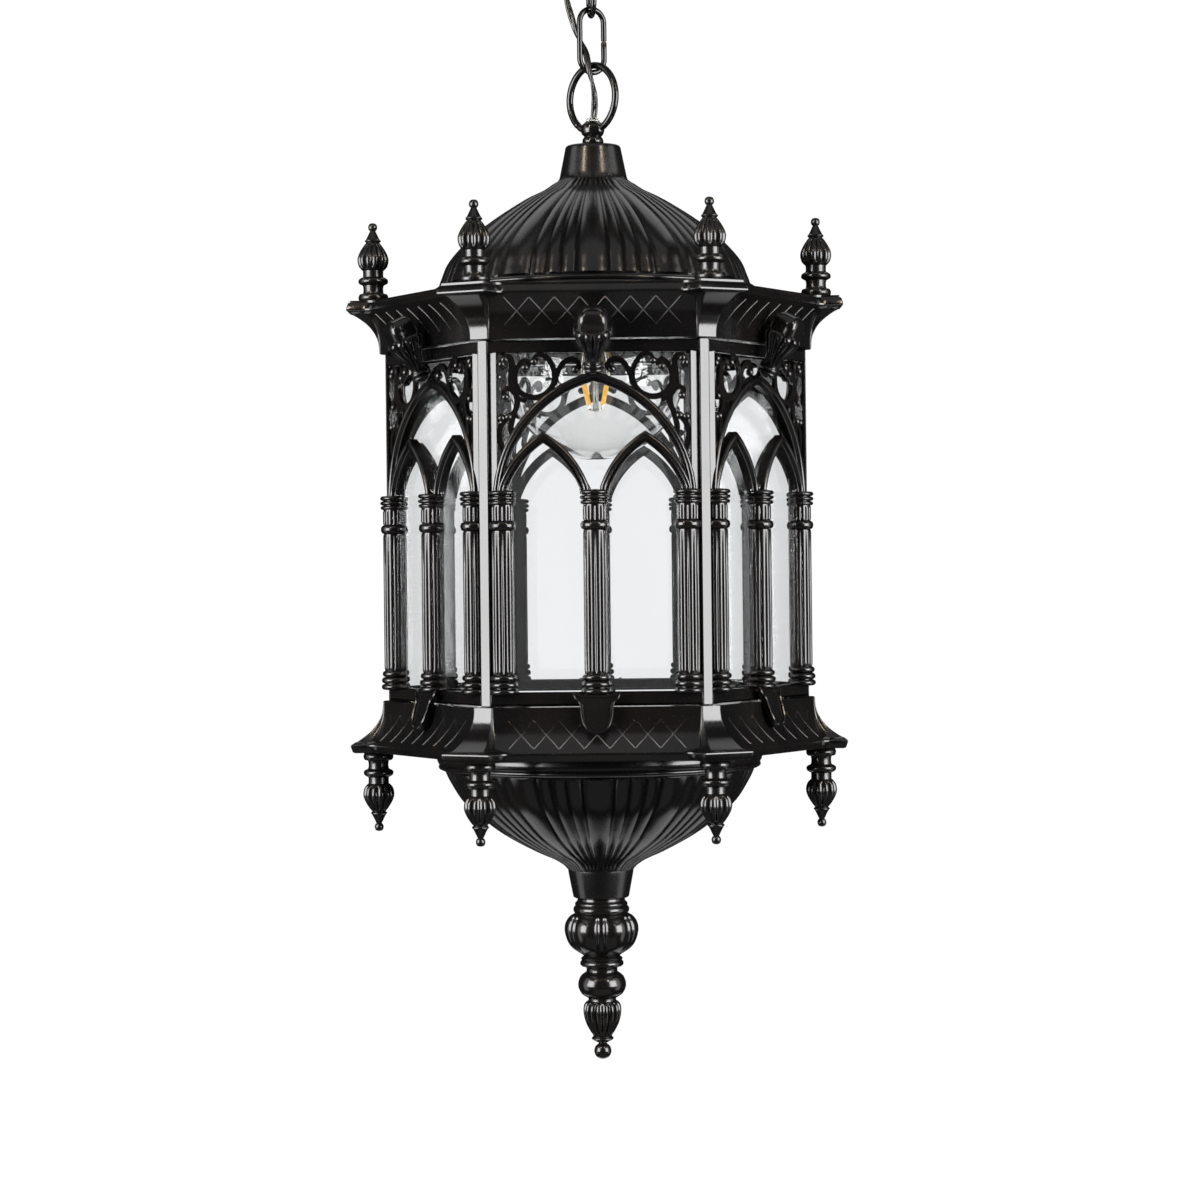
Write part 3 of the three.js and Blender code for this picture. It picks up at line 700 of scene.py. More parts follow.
def lay_cord():
    """The twisted cord, laid length by length along the route."""
    route = smooth_run(CORD_ROUTE, STEPS_PER_POINT)
    places = stations(route)
    section = twin_section()
    run = [path_length(route[: i + 1]) for i in range(len(route))]
    for name, a, b, upper, lower in CORD_LENGTHS:
        bm = bmesh.new()
        rings = []
        for i in range(a, b + 1):
            place = places[i] @ Matrix.Rotation(run[i] * CORD_TWIST, 4, "Z")
            verts = [bm.verts.new(place @ Vector((u, v, 0))) for u, v in section]
            rings.append([bm.edges.new(pair) for pair in zip(verts, [*verts[1:], verts[0]])])
        for upper_ring, lower_ring in zip(rings, rings[1:]):
            bmesh.ops.bridge_loops(bm, edges=[*upper_ring, *lower_ring])
        bmesh.ops.contextual_create(bm, geom=rings[0])
        bmesh.ops.contextual_create(bm, geom=rings[-1])
        bmesh.ops.recalc_face_normals(bm, faces=bm.faces)
        mesh = bpy.data.meshes.new(name)
        bm.to_mesh(mesh)
        bm.free()
        mesh.materials.append(SHEATH)
        mesh.shade_smooth()
        mesh.set_sharp_from_angle(angle=math.radians(60))
        obj = bpy.data.objects.new(name, mesh)
        bpy.context.scene.collection.objects.link(obj)
        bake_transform(obj)
        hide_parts("cord")


lay_cord()


# ---- chain, ring and what carries them ----------------------------------------------------------
CHAIN_GAP = 0.4
CHAIN_WIRE = 3.45
LINK_LENGTH = 41.8
LINK_WIDTH = 20.1
RING_WIRE = 4.2
RING_OUTER = 44
RING_PIVOT = 561
LOOP_WIRE = 4
LOOP_RADIUS = 11
RING_TURN = math.radians(-45.6)
LOWER_LINK_TURN = math.radians(30)
UPPER_LINK_TURN = math.radians(-79.5)
LOOP_TURN = math.radians(10.5)
SLIT = 0.45
RING_TOP = RING_PIVOT - RING_WIRE / 2 + RING_OUTER
LOWER_LINK_BOTTOM = RING_TOP - RING_WIRE - CHAIN_GAP - CHAIN_WIRE
UPPER_LINK_BOTTOM = LOWER_LINK_BOTTOM + LINK_LENGTH - 2 * CHAIN_WIRE - CHAIN_GAP
LOOP_WIRE_CENTRE = UPPER_LINK_BOTTOM + LINK_LENGTH - CHAIN_WIRE - CHAIN_GAP - LOOP_WIRE / 2
CANOPY_FACE = CEILING - 22
WIRE_SIDES = 20


def bent_wire(path, radius, turn, height):
    """A wire bent in the XZ plane, with softened cut ends, turned about the axis and lifted."""
    bm = bmesh.new()
    ends = [0.72, 0.93, 1]
    sizes = [*ends, *[1] * (len(path) - 6), *reversed(ends)]
    swept(bm, [(x, 0, z) for x, z in path], round_section(radius, WIRE_SIDES), sizes=sizes)
    return moved(outward(bm), (0, 0, height), turn)


def slit_ends(path, radius):
    """The path with two close points at each end, for the softened cut."""
    (x0, z0), (x1, z1) = path[0], path[1]
    (y0, w0), (y1, w1) = path[-1], path[-2]
    step = math.dist((x0, z0), (x1, z1))
    near = [(x0 + (x1 - x0) * s, z0 + (z1 - z0) * s) for s in (0.08 * radius / step, 0.3 * radius / step)]
    far = [(y0 + (y1 - y0) * s, w0 + (w1 - w0) * s) for s in (0.3 * radius / step, 0.08 * radius / step)]
    return [path[0], *near, *path[1:-1], *far, path[-1]]


def chain_link(bottom, turn):
    """An oval link with its slit halfway up one leg."""
    bow = (LINK_WIDTH - CHAIN_WIRE) / 2
    leg = (LINK_LENGTH - LINK_WIDTH) / 2
    path = [
        (bow, SLIT / 2),
        (bow, leg * 0.5),
        *arc((0, leg), bow, 0, 180, 24),
        (-bow, 0),
        *arc((0, -leg), bow, 180, 360, 24),
        (bow, -leg * 0.5),
        (bow, -SLIT / 2),
    ]
    return bent_wire(slit_ends(path, CHAIN_WIRE / 2), CHAIN_WIRE / 2, turn, bottom + LINK_LENGTH / 2)


def hanging_ring():
    """The big round ring, slit low on its left."""
    radius = (RING_OUTER - RING_WIRE) / 2
    half_cut = math.degrees(SLIT / radius / 2)
    path = arc((0, 0), radius, 232 + half_cut, 592 - half_cut, 72)
    return bent_wire(slit_ends(path, RING_WIRE / 2), RING_WIRE / 2, RING_TURN, RING_PIVOT + radius)


def canopy_loop():
    """The closed eye under the ceiling cup, on its flanged stem."""
    bm = bmesh.new()
    crown = [(x, 0, z) for x, z in arc((0, LOOP_WIRE_CENTRE + LOOP_RADIUS), LOOP_RADIUS, 90, 450, 60)[:-1]]
    swept(bm, crown, round_section(LOOP_WIRE / 2, WIRE_SIDES), closed=True)
    moved(outward(bm), turn=LOOP_TURN)
    face = CANOPY_FACE
    stem = [
        (0, face - 10.6),
        *smooth_run([(3.2, face - 10.2), (4.5, face - 9), (4.7, face - 7), (4.6, face - 5.4)], 3),
        *smooth_run([(6, face - 4.8), (8.4, face - 4), (9, face - 2.4), (9, face - 0.3)], 3),
        (4.8, face - 0.3),
        (4.8, CEILING - 3.3),
        (0, CEILING - 3.3),
    ]
    add_to(bm, turned(stem, 48))
    return bm


def suspension_ball():
    """Two stacked balls on a bored seat, with a swollen mouth each side where the ring goes through."""
    profile = [
        (0, 555.8),
        (4.3, 555.8),
        (4.3, 552.5),
        *smooth_run([(5.2, 552.5), (6.2, 553.6), (6.4, 555), (5.9, 556.6), (5.1, 557.6)], 4),
        *smooth_run([(5.6, 558.2), (6.6, 559.6), (7, 562), (6.4, 564.6), (4.9, 566.2), (4.1, 566.8)], 5),
        (0, 566.8),
    ]
    bm = turned(profile, 56)
    mouth = Vector((math.cos(RING_TURN), math.sin(RING_TURN)))
    for v in bm.verts:
        r = math.hypot(v.co.x, v.co.y)
        if r > 4.5 and v.co.z > 557:
            aligned = abs(v.co.x * mouth.x + v.co.y * mouth.y) / r
            swell = fade(aligned, 0.8, 1) * (1 - fade(abs(v.co.z - 561.6), 1.5, 4.5)) * 1.1
            v.co.x *= 1 + swell / r
            v.co.y *= 1 + swell / r
    return bm


def wire_grommet():
    """A ridged clear collar that holds the cord."""
    profile = [
        (2.35, 567),
        (3.9, 567),
        (4.1, 567.5),
        (3.5, 567.9),
        (3.9, 568.3),
        (3.2, 568.8),
        (2.9, 569),
        (2.35, 569),
    ]

    def ridged(angle, r, z):
        return r + (0.16 * math.cos(18 * angle) if r > 3.4 else 0)

    return reshape(turned_tube(profile, 72), ridged)


def threaded_nipple():
    """The threaded rod that holds the dome to the ball."""
    pitch = 1.0
    profile = [(0, 517.2), (3.5, 517.2)]
    for i in range(38):
        z = 517.6 + pitch * i
        profile += [(3.5, z), (3.95, z + pitch / 2)]
    profile += [(3.5, 555.4), (0, 555.4)]
    return turned(profile, 28)


def nipple_nut():
    """The hex nut inside the dome."""
    bm = bmesh.new()
    bmesh.ops.create_cone(bm, cap_ends=True, segments=6, radius1=8.5, radius2=8.5, depth=5.6)
    moved(bm, (0, 0, 541.8))
    soften(bm, bm.edges, 0.5)
    return outward(bm)


def canopy():
    """The ceiling cup: a flat face, a rolled shoulder with a bead above it, and a straight wall."""
    face = CANOPY_FACE
    profile = [
        (5.3, face + 1.5),
        (5.3, face),
        (44, face),
        *smooth_run([(45.5, face + 0.1), (46.6, face + 0.9), (48, face + 0.4), (50, face + 0.3)], 4),
        *smooth_run([(53, face + 1.1), (56.4, face + 3.6), (58.6, face + 7.2), (59.6, face + 11)], 6),
        *smooth_run([(60, face + 12), (59.6, face + 13), (59.6, CEILING - 2.4)], 4),
        *smooth_run([(60, CEILING - 1.8), (60, CEILING - 0.7), (59.6, CEILING - 0.1)], 3),
        (58.5, CEILING - 0.1),
        (58.3, face + 12),
        (55.6, face + 5.2),
        (49.6, face + 1.9),
    ]
    return turned_tube(profile, 128)


def crossbar():
    """A flat bar under the ceiling with a stiffening rib on each half."""
    bm = bmesh.new()
    block(bm, (-52, -9, CEILING - 3), (52, 9, CEILING - 0.02), 0.6)
    for start, end in ((-40, -14), (14, 40)):
        block(bm, (start, -1.6, CEILING - 3.6), (end, 1.6, CEILING - 2.6), 0.5)
    return bm


def canopy_screw(side):
    """A domed thumb nut with a knurled edge, on its stud."""
    face = CANOPY_FACE - 0.3
    profile = [
        (0, face - 6.4),
        *smooth_run([(1.2, face - 6.3), (2.9, face - 5.6), (4, face - 4), (4.3, face - 2.4)], 4),
        (4.8, face - 2.2),
        (4.8, face - 0.4),
        (4.5, face),
        (2, face),
        (2, CEILING - 3.3),
        (0, CEILING - 3.3),
    ]

    def knurled(angle, r, z):
        return r - (0.18 * (1 + math.cos(20 * angle)) / 2 if r > 4.6 else 0)

    return moved(reshape(turned(profile, 40), knurled), (side * 42, 0, 0))


def canopy_bushing():
    """The rubber sleeve where the cord leaves the ceiling cup."""
    face = CANOPY_FACE
    profile = [
        (2.4, face - 1.5),
        *smooth_run([(3.2, face - 1.5), (4.6, face - 1.3), (5, face - 0.8), (5, face - 0.3)], 3),
        (3.3, face - 0.3),
        (3.3, face + 3.5),
        (2.4, face + 3.5),
    ]
    return moved(turned_tube(profile, 40), (-21, 4, 0))


def fit_suspension():
    """Everything from the ceiling down to the ball on the dome."""
    piece(crossbar(), "ceiling_bar", ZINC, "ceiling_set", ["crossbar"])
    piece(canopy(), "ceiling_cup", PAINT, "ceiling_set", ["canopy"])
    for side, word in ((-1, "left"), (1, "right")):
        screw = canopy_screw(side)
        piece(screw, f"cup_screw_{word}", ZINC, "ceiling_set", [f"canopy_screw_{word}"])
    piece(canopy_bushing(), "cord_bushing", RUBBER, "ceiling_set", ["canopy_bushing"])
    piece(canopy_loop(), "ceiling_loop", ENAMEL, "ceiling_set", ["canopy_loop"])
    upper = chain_link(UPPER_LINK_BOTTOM, UPPER_LINK_TURN)
    piece(upper, "chain_link_upper", ENAMEL, "upper_link", ["link_upper"], 50)
    lower = chain_link(LOWER_LINK_BOTTOM, LOWER_LINK_TURN)
    piece(lower, "chain_link_lower", ENAMEL, "lower_link", ["link_lower"], 50)
    piece(hanging_ring(), "split_ring", ENAMEL, "ring", ["hanging_ring"], 50)
    piece(suspension_ball(), "ring_ball", PAINT, "lantern", ["suspension_ball"])
    piece(wire_grommet(), "cord_grommet", GROMMET_PLASTIC, "lantern", ["wire_grommet"])
    piece(threaded_nipple(), "nipple_thread", ZINC, "lantern", ["top_nipple"])
    piece(nipple_nut(), "nipple_hex_nut", ZINC, "lantern", ["nipple_nut"])


fit_suspension()


# ---- dome and bowl ------------------------------------------------------------------------------
# A period of the fluting is one wide lobe and three narrow ribs; the first wide lobe faces the front.
PERIODS = 12
STEPS_IN_PERIOD = 30
LOBE_STEPS = [12, 6, 6, 6]
LOBE_SWELL = [1.0, 0.62, 0.62, 0.62]
FRONT = -math.pi / 2


def lobe_at(angle):
    """How far a lobe stands proud at an angle: 0 in a valley, up to its swell on its crown."""
    period = math.tau / PERIODS
    half_wide = period * LOBE_STEPS[0] / STEPS_IN_PERIOD / 2
    within = (angle - FRONT + half_wide) % period / period * STEPS_IN_PERIOD
    for steps, swell in zip(LOBE_STEPS, LOBE_SWELL):
        if within < steps:
            across = 2 * within / steps - 1
            return swell * math.sqrt(max(1 - across * across, 0))
        within -= steps
    return 0


def dome():
    """The fluted cap: bead and step at its foot, a plain cone with a rounded edge on top."""
    outer = [
        (91, 459.2),
        *smooth_run([(96.6, 459.2), (97.8, 459.8), (98, 461), (97.4, 462.4), (96.6, 462.8)], 3),
        *smooth_run([(97, 463.2), (97.4, 464.2), (96.8, 465.4), (95.2, 466.2), (93.6, 466.8)], 3),
        (92.6, 467.2),
        *smooth_run(
            [
                (92.8, 467.8),
                (91.2, 472.2),
                (86.6, 482.4),
                (75, 495.4),
                (60.8, 507),
                (42.4, 518.8),
                (30.4, 524.8),
                (24, 529),
            ],
            6,
        ),
        (21.6, 530.6),
        (20.5, 532.2),
        (19.8, 535.6),
        (18.4, 542.4),
        (17, 549.4),
        *smooth_run([(16.8, 550.6), (16.2, 551.6), (15.2, 552.1), (14, 552.2)], 3),
        (4.3, 552.2),
        (4.3, 546),
        (13, 545),
        (16, 530),
        (27, 521.4),
        (40, 515.6),
        (58, 504.2),
        (83, 480.6),
    ]
    bm = turned_tube(outer, PERIODS * STEPS_IN_PERIOD)

    def fluted(angle, r, z):
        if not 467.4 < z < 530.8 or r < skin_radius(outer, z) - 0.6:
            return r
        strength = 1 - 0.85 * fade(z, 529, 530.4)
        depth = 3.3 * min(1, 0.36 + r / 130) * strength
        return r + depth * (lobe_at(angle) - 0.55)

    return reshape(bm, fluted)


def skin_radius(profile, z):
    """The outside radius of a turned profile at a height."""
    best = 0
    for (r0, z0), (r1, z1) in zip(profile, profile[1:]):
        if min(z0, z1) - 1e-6 <= z <= max(z0, z1) + 1e-6:
            t = (z - z0) / (z1 - z0) if abs(z1 - z0) > 1e-9 else 0
            best = max(best, r0 + (r1 - r0) * t)
    return best


def bowl():
    """The fluted bowl: a plain collar below, rolled beads around its top."""
    outer = [
        (5.3, 97.3),
        (15.6, 97.3),
        *smooth_run([(16.8, 98), (17.3, 100.4), (18.5, 106.6), (19.6, 112.6), (19.8, 114.4)], 3),
        *smooth_run(
            [
                (21.6, 116.6),
                (26.2, 120),
                (39.4, 126),
                (57, 135.8),
                (72, 147.2),
                (81.6, 156.4),
                (88.6, 167.4),
                (91.4, 173),
                (92, 175),
            ],
            6,
        ),
        *smooth_run([(93.6, 175.6), (95.4, 175.9), (97, 176.8), (97.4, 178), (96.8, 179.4)], 3),
        *smooth_run([(97.4, 179.8), (98.2, 181.6), (98.2, 184.6), (97.6, 186.5)], 3),
        (91, 186.5),
        (88.4, 174),
        (78.4, 158),
        (55.2, 139.6),
        (37.4, 129.6),
        (24, 123.6),
        (5.3, 121),
    ]
    bm = turned_tube(outer, PERIODS * STEPS_IN_PERIOD)

    def fluted(angle, r, z):
        if not 115 < z < 174.8 or r < skin_radius(outer, z) - 0.6:
            return r
        strength = fade(z, 115.4, 119)
        depth = 3.2 * min(1, 0.36 + r / 130) * strength
        return r + depth * (lobe_at(angle) - 0.55)

    return reshape(bm, fluted)


piece(dome(), "fluted_dome", SATIN_PAINT, "lantern", ["dome"], 24)
piece(bowl(), "fluted_bowl", SATIN_PAINT, "lantern", ["bowl"], 24)


# ---- cornices -----------------------------------------------------------------------------------
NARROW = {"corner": 130.4, "facet": 12.6, "apothem": 115.4}
PLATE = {"corner": 149.4, "facet": 32.6, "apothem": 125}
BLOCK_WIDTH = 24
POCKET_APOTHEM = 103
PLATE_HOLE = 90
LOWER_CORNICE = {"plate_outer": 186.8, "plate_inner": 192, "narrow": 217.5}
UPPER_CORNICE = {"plate_outer": 458.9, "plate_inner": 452.7, "narrow": 427.6}
COVE_STEPS = 18
FILLET_STEPS = 4


def cove(t):
    """How far the cornice has flared: upright at its narrow end, then a hollow sweep out to the plate."""
    return 0.94 * t**2.5


def cornice_plan(flare, inset=0.0):
    """A hexagon with a pedestal at each corner, with a hollow round beside it."""
    corner = mixed(NARROW["corner"], PLATE["corner"], flare) - inset
    block_width = mixed(NARROW["facet"], BLOCK_WIDTH, flare)
    half = mixed(block_width, PLATE["facet"], fade(flare, 0.8, 1)) / 2 - inset * 0.7
    apothem = mixed(NARROW["apothem"], PLATE["apothem"], flare) - inset
    root = (apothem - half * math.sin(HALF_STEP)) / math.cos(HALF_STEP)
    fillet = 0.4 * max(corner - root, 0) + 0.15
    edge = Vector((root - fillet * math.sin(HALF_STEP), half + fillet * math.cos(HALF_STEP)))
    bend = Vector((min(root + fillet, corner - 0.7), half + 0.02))
    knee = Vector((root, half + 0.01))
    left = []
    for i in range(FILLET_STEPS + 1):
        t = i / FILLET_STEPS
        left.append(edge * (1 - t) ** 2 + knee * 2 * t * (1 - t) + bend * t * t)
    for back, aside in ((0.5, 0), (0.15, 0.15), (0, 0.5), (0, 1.1)):
        left.append(Vector((corner - back, half - aside)))
    along = Vector((-math.sin(HALF_STEP), math.cos(HALF_STEP)))
    left.insert(0, edge + along * 1.6)
    around = [Vector((p.x, -p.y)) for p in left] + left[::-1]
    plan = []
    for k in range(SIDES):
        turn = Matrix.Rotation(k * CORNER_STEP, 2)
        plan += [turn @ p for p in around]
    return plan


def hexagon_like(plan, apothem):
    """The plan's points moved in or out onto a plain hexagon."""
    placed = []
    for p in plan:
        angle = math.atan2(p.y, p.x)
        off = (angle % CORNER_STEP) - HALF_STEP
        placed.append(Vector((math.cos(angle), math.sin(angle))) * (apothem / math.cos(off)))
    return placed


def circle_like(plan, radius):
    """The plan's points moved in or out onto a circle."""
    return [p.normalized() * radius for p in plan]


def cornice(sizes):
    """A flared casting from its narrow end over the plate's lip and back through the pocket inside."""
    outer, inner, narrow = sizes["plate_outer"], sizes["plate_inner"], sizes["narrow"]
    away = math.copysign(1, narrow - outer)
    rings = [(cornice_plan(0, 0.15), narrow)]
    for i in range(COVE_STEPS + 1):
        t = i / COVE_STEPS
        rings.append((cornice_plan(cove(t)), mixed(narrow - away * 0.15, inner, t)))
    thick = abs(outer - inner)
    lip = [(0.5, 0.1), (0.1, 0.35), (0, 0.8), (0.15, 1.4), (1.1, 4.4), (1.6, 4.9), (2.2, 5), (2.3, thick)]
    for inset, rise in lip:
        rings.append((cornice_plan(1, inset), inner - away * rise))
    plan = cornice_plan(1, 4)
    hole = circle_like(plan, PLATE_HOLE)
    pocket = hexagon_like(plan, POCKET_APOTHEM)
    pocket_floor = inner + away * 3
    rings += [(plan, outer), (hole, outer), (hole, pocket_floor), (pocket, pocket_floor), (pocket, narrow)]
    return lofted([[(p.x, p.y, z) for p in plan] for plan, z in rings])


DIAMOND_COUNT = 7
DIAMOND_PITCH = 14.4
DIAMOND_BEAD = 0.36
DIAMOND_KNOT = 0.6
DIAMOND_SPAN = (0.3, 0.91)
DIAMOND_STEPS = 8


def diamond_band(sizes):
    """Raised criss-cross beads on the six coves."""
    outer, inner, narrow = sizes["plate_outer"], sizes["plate_inner"], sizes["narrow"]
    bm = bmesh.new()
    section = round_section(DIAMOND_BEAD, 6)
    for i in range(DIAMOND_COUNT):
        left = (i - DIAMOND_COUNT / 2) * DIAMOND_PITCH
        for rising in (True, False):
            run = []
            for j in range(DIAMOND_STEPS + 1):
                share = j / DIAMOND_STEPS
                t = mixed(*DIAMOND_SPAN, share if rising else 1 - share)
                apothem = mixed(NARROW["apothem"], PLATE["apothem"], cove(t))
                run.append((left + share * DIAMOND_PITCH, -(apothem + 0.02), mixed(narrow, inner, t)))
            swept(bm, run, section)
        knot = bmesh.ops.create_uvsphere(bm, u_segments=10, v_segments=8, radius=DIAMOND_KNOT)["verts"]
        bmesh.ops.translate(bm, vec=run[DIAMOND_STEPS // 2], verts=knot)
    outward(bm)
    base = [*bm.verts, *bm.edges, *bm.faces]
    for k in range(1, SIDES):
        copy = bmesh.ops.duplicate(bm, geom=base)["geom"]
        verts = [g for g in copy if isinstance(g, bmesh.types.BMVert)]
        bmesh.ops.rotate(bm, matrix=Matrix.Rotation(k * CORNER_STEP, 3, "Z"), verts=verts)
    return bm


def fit_cornices():
    """Both cornices with their diamond bands."""
    for word, sizes in (("upper", UPPER_CORNICE), ("lower", LOWER_CORNICE)):
        piece(cornice(sizes), f"{word}_cove", PAINT, "lantern", [f"{word}_cornice"], 32)
        piece(diamond_band(sizes), f"{word}_diamonds", PAINT, "lantern", (), 80)


fit_cornices()


# ---- windows ------------------------------------------------------------------------------------
PANEL_FRONT = -111.4
PANEL_BACK = -106.4
PANEL_HALF = 60.7
PANEL_LOW = 218.6
PANEL_HIGH = 426.6
RAIL_TOP = 419.7
RAIL_BOTTOM = 225.8
SPRING = 342.5
COLUMN_AXIS = -110.8
COLUMN_LOW = 224.6
BIG_ARCH = {"centre": 0, "half": 55.1, "rise": 63.6, "lean": 6}
SMALL_ARCH = {"centre": 29.2, "half": 23.3, "rise": 28.9, "lean": 19}
ARCH_STEPS = 14


def pointed_arch(centre, half, rise, lean):
    """The line of a pointed arch, from the right over the point to the left, that starts out leaning in."""
    chord = math.hypot(half, rise)
    half_sweep = math.radians(90 - lean) - math.atan2(rise, half)
    radius = chord / (2 * math.sin(half_sweep))
    start = math.radians(lean)
    middle = (half - radius * math.cos(start), -radius * math.sin(start))
    right = arc(middle, radius, lean, lean + 2 * math.degrees(half_sweep), ARCH_STEPS)
    left = [(-x, z) for x, z in right[-2::-1]]
    line = [(half, -1.6), *right, *left, (-half, -1.6)]
    return [(centre + x, PANEL_FRONT, SPRING + z) for x, z in line]


def double_roll(big, small, width, back):
    """A moulding section: a big roll outside, a small roll inside and a hollow between them."""
    half = width / 2
    big_at = -half + big
    small_at = half - small
    return [
        (-half, -back),
        (-half, -0.4),
        *arc((big_at, -0.2), big, 180, 10, 8),
        *arc((small_at, -0.9), small, 150, 0, 5),
        (half, -1.4),
        (half, -back),
    ]


def reeded_column(x, radius, reeds):
    """A reeded column on three bulging rings, with a ring on its shaft and a beaded capital."""
    wide = radius * 1.2

    def bead(low, high, reach, waist):
        middle, half = mixed(low, high, 0.5), (high - low) / 2
        angles = [math.radians(a) for a in range(-90, 91, 18)]
        return [(waist + (reach - waist) * math.cos(a), middle + half * math.sin(a)) for a in angles]

    profile = [
        (0, COLUMN_LOW),
        *bead(COLUMN_LOW, 228.2, wide * 1.06, radius * 0.96),
        *bead(228.4, 232.2, wide * 1.04, radius * 0.96),
        *bead(232.4, 236, wide * 0.98, radius * 0.92),
        (radius * 0.97, 236.6),
        (radius, 238.4),
        (radius, 260),
        (radius, 290),
        (radius, 316.6),
        (radius * 0.96, 318.2),
        *bead(318.5, 323.7, wide, radius * 0.9),
        (radius * 0.96, 324),
        (radius, 325.2),
        (radius, 331.4),
        (radius * 0.95, 332.6),
        *bead(332.9, 335.4, wide, radius * 0.95),
        *bead(335.6, 338.2, wide * 1.03, radius * 0.95),
        *bead(338.4, 341.2, wide * 1.03, radius * 0.95),
        (0, 341.8),
    ]
    bm = turned(profile, reeds * 10)

    def reeded(angle, r, z):
        shaft = fade(z, 236.4, 239) * (1 - fade(z, 315, 317.6))
        shaft += fade(z, 324, 325.6) * (1 - fade(z, 330.6, 332.4))
        crown = abs(math.sin(reeds * angle / 2))
        return r * (1 - 0.13 * shaft * (1 - crown) ** 2.2)

    moved(reshape(bm, reeded), (x, COLUMN_AXIS, 0))
    everything = [*bm.verts, *bm.edges, *bm.faces]
    cut = bmesh.ops.bisect_plane(
        bm, geom=everything, dist=1e-4, plane_co=(0, PANEL_BACK, 0), plane_no=(0, 1, 0), clear_outer=True
    )
    rim = [g for g in cut["geom_cut"] if isinstance(g, bmesh.types.BMEdge)]
    bmesh.ops.holes_fill(bm, edges=rim, sides=0)
    return outward(bm)


# The scrollwork over the right-hand side of the arch, as (x, z).
GREAT_RING = [
    (38.6, 411.4), (36.4, 413.6), (39.6, 415.2), (43.6, 410.8), (45, 404.8), (43, 398.6), (38, 394.8),
    (32.4, 394.2), (26.8, 396.6), (23, 401.6), (22.2, 407.8), (24.2, 413.8), (28, 418), (32.6, 418),
    (33.8, 414.8),
]
OUTER_SWEEP = [
    (52.6, 414.6), (50.4, 417.6), (47.4, 417), (46.2, 412.6), (47.2, 406), (46.6, 399.4), (43.2, 394.2),
    (38.4, 391.8),
]
ARCH_HOOK = [(22, 401), (20.6, 408), (17, 413.8), (12.4, 415.6), (8.8, 413.8), (8.2, 410.8), (10.6, 409.8)]
SECOND_SCROLL = [
    (50.4, 394.4), (51.2, 398), (48, 399.4), (44.6, 396.4), (43.6, 391), (45.4, 385.8), (49, 382.6),
    (52.6, 382.4),
]
LONG_LEAF = [(48.8, 382.8), (52.6, 378.6), (54.2, 372.6), (53, 366.8), (51.6, 361.6)]
LEAF_TONGUE = [(44.8, 385.6), (46.8, 380.4), (47.4, 375.4), (45.6, 371.8)]
SCROLLS = [GREAT_RING, OUTER_SWEEP, ARCH_HOOK, SECOND_SCROLL, LONG_LEAF, LEAF_TONGUE]
KNOBS = [
    (33.8, 414.6), (39, 411.4), (52.4, 413.4), (50.8, 416), (10.4, 410), (50.4, 394.6), (52.8, 382.6),
    (48.8, 383.2),
]
SCROLL_HALF = 1.7


def scrollwork(bm, side):
    """Round-nosed ribbons that thin out towards their ends, with a knob on each curl."""
    half = [(1, -0.2), (0.94, -0.55), (0.72, -0.86), (0.4, -1.02), (0, -1.08)]
    front = [*half, *[(-u, v) for u, v in half[-2::-1]]]
    section = [(u * SCROLL_HALF, v * SCROLL_HALF) for u, v in [(1, 0.7), *front, (-1, 0.7)]]
    for points in SCROLLS:
        run = smooth_run([(side * x, PANEL_FRONT + 1.2, z) for x, z in points], 5)
        last = len(run) - 1
        sizes = [0.7 + 0.3 * math.sin(math.pi * (i / last)) for i in range(last + 1)]
        swept(bm, run, section, sizes=sizes)
    for x, z in KNOBS:
        knob = bmesh.ops.create_uvsphere(bm, u_segments=12, v_segments=8, radius=2.3)["verts"]
        bmesh.ops.translate(bm, vec=(side * x, PANEL_FRONT + 0.4, z), verts=knob)


LEAF_LEAN = math.atan2(7.2, 22)
LEAF_AT = (0, -115.2, 221)


def leaf():
    """The shield-shaped leaf that leans out over the lower cornice, with a raised rim."""
    half = [
        *smooth_run([(5, 2.1), (9, 2.4), (12, 3.2), (13.3, 3.9)], 3),
        *smooth_run([(13.2, 2.6), (12, 0.5), (10.3, -1.2), (9.3, -3.4), (9, -7)], 3),
        *smooth_run([(8.5, -11.4), (7.4, -15), (5.4, -18), (2.9, -19.5), (0, -20)], 3),
    ]
    outline = [*half, *[(-x, z) for x, z in half[-2::-1]]]
    bm = bmesh.new()
    face = bm.faces.new([bm.verts.new((x, -2.4, z)) for x, z in outline])
    made = bmesh.ops.extrude_face_region(bm, geom=[face], use_keep_orig=True)["geom"]
    back = [g for g in made if isinstance(g, bmesh.types.BMVert)]
    bmesh.ops.translate(bm, vec=(0, 2.4, 0), verts=back)
    bmesh.ops.inset_individual(bm, faces=[face], thickness=0.5)
    swept(bm, [(x * 0.95, -2.7, z * 0.96) for x, z in outline], round_section(0.9, 8), closed=True)
    return moved(outward(bm), LEAF_AT, -LEAF_LEAN, "X")


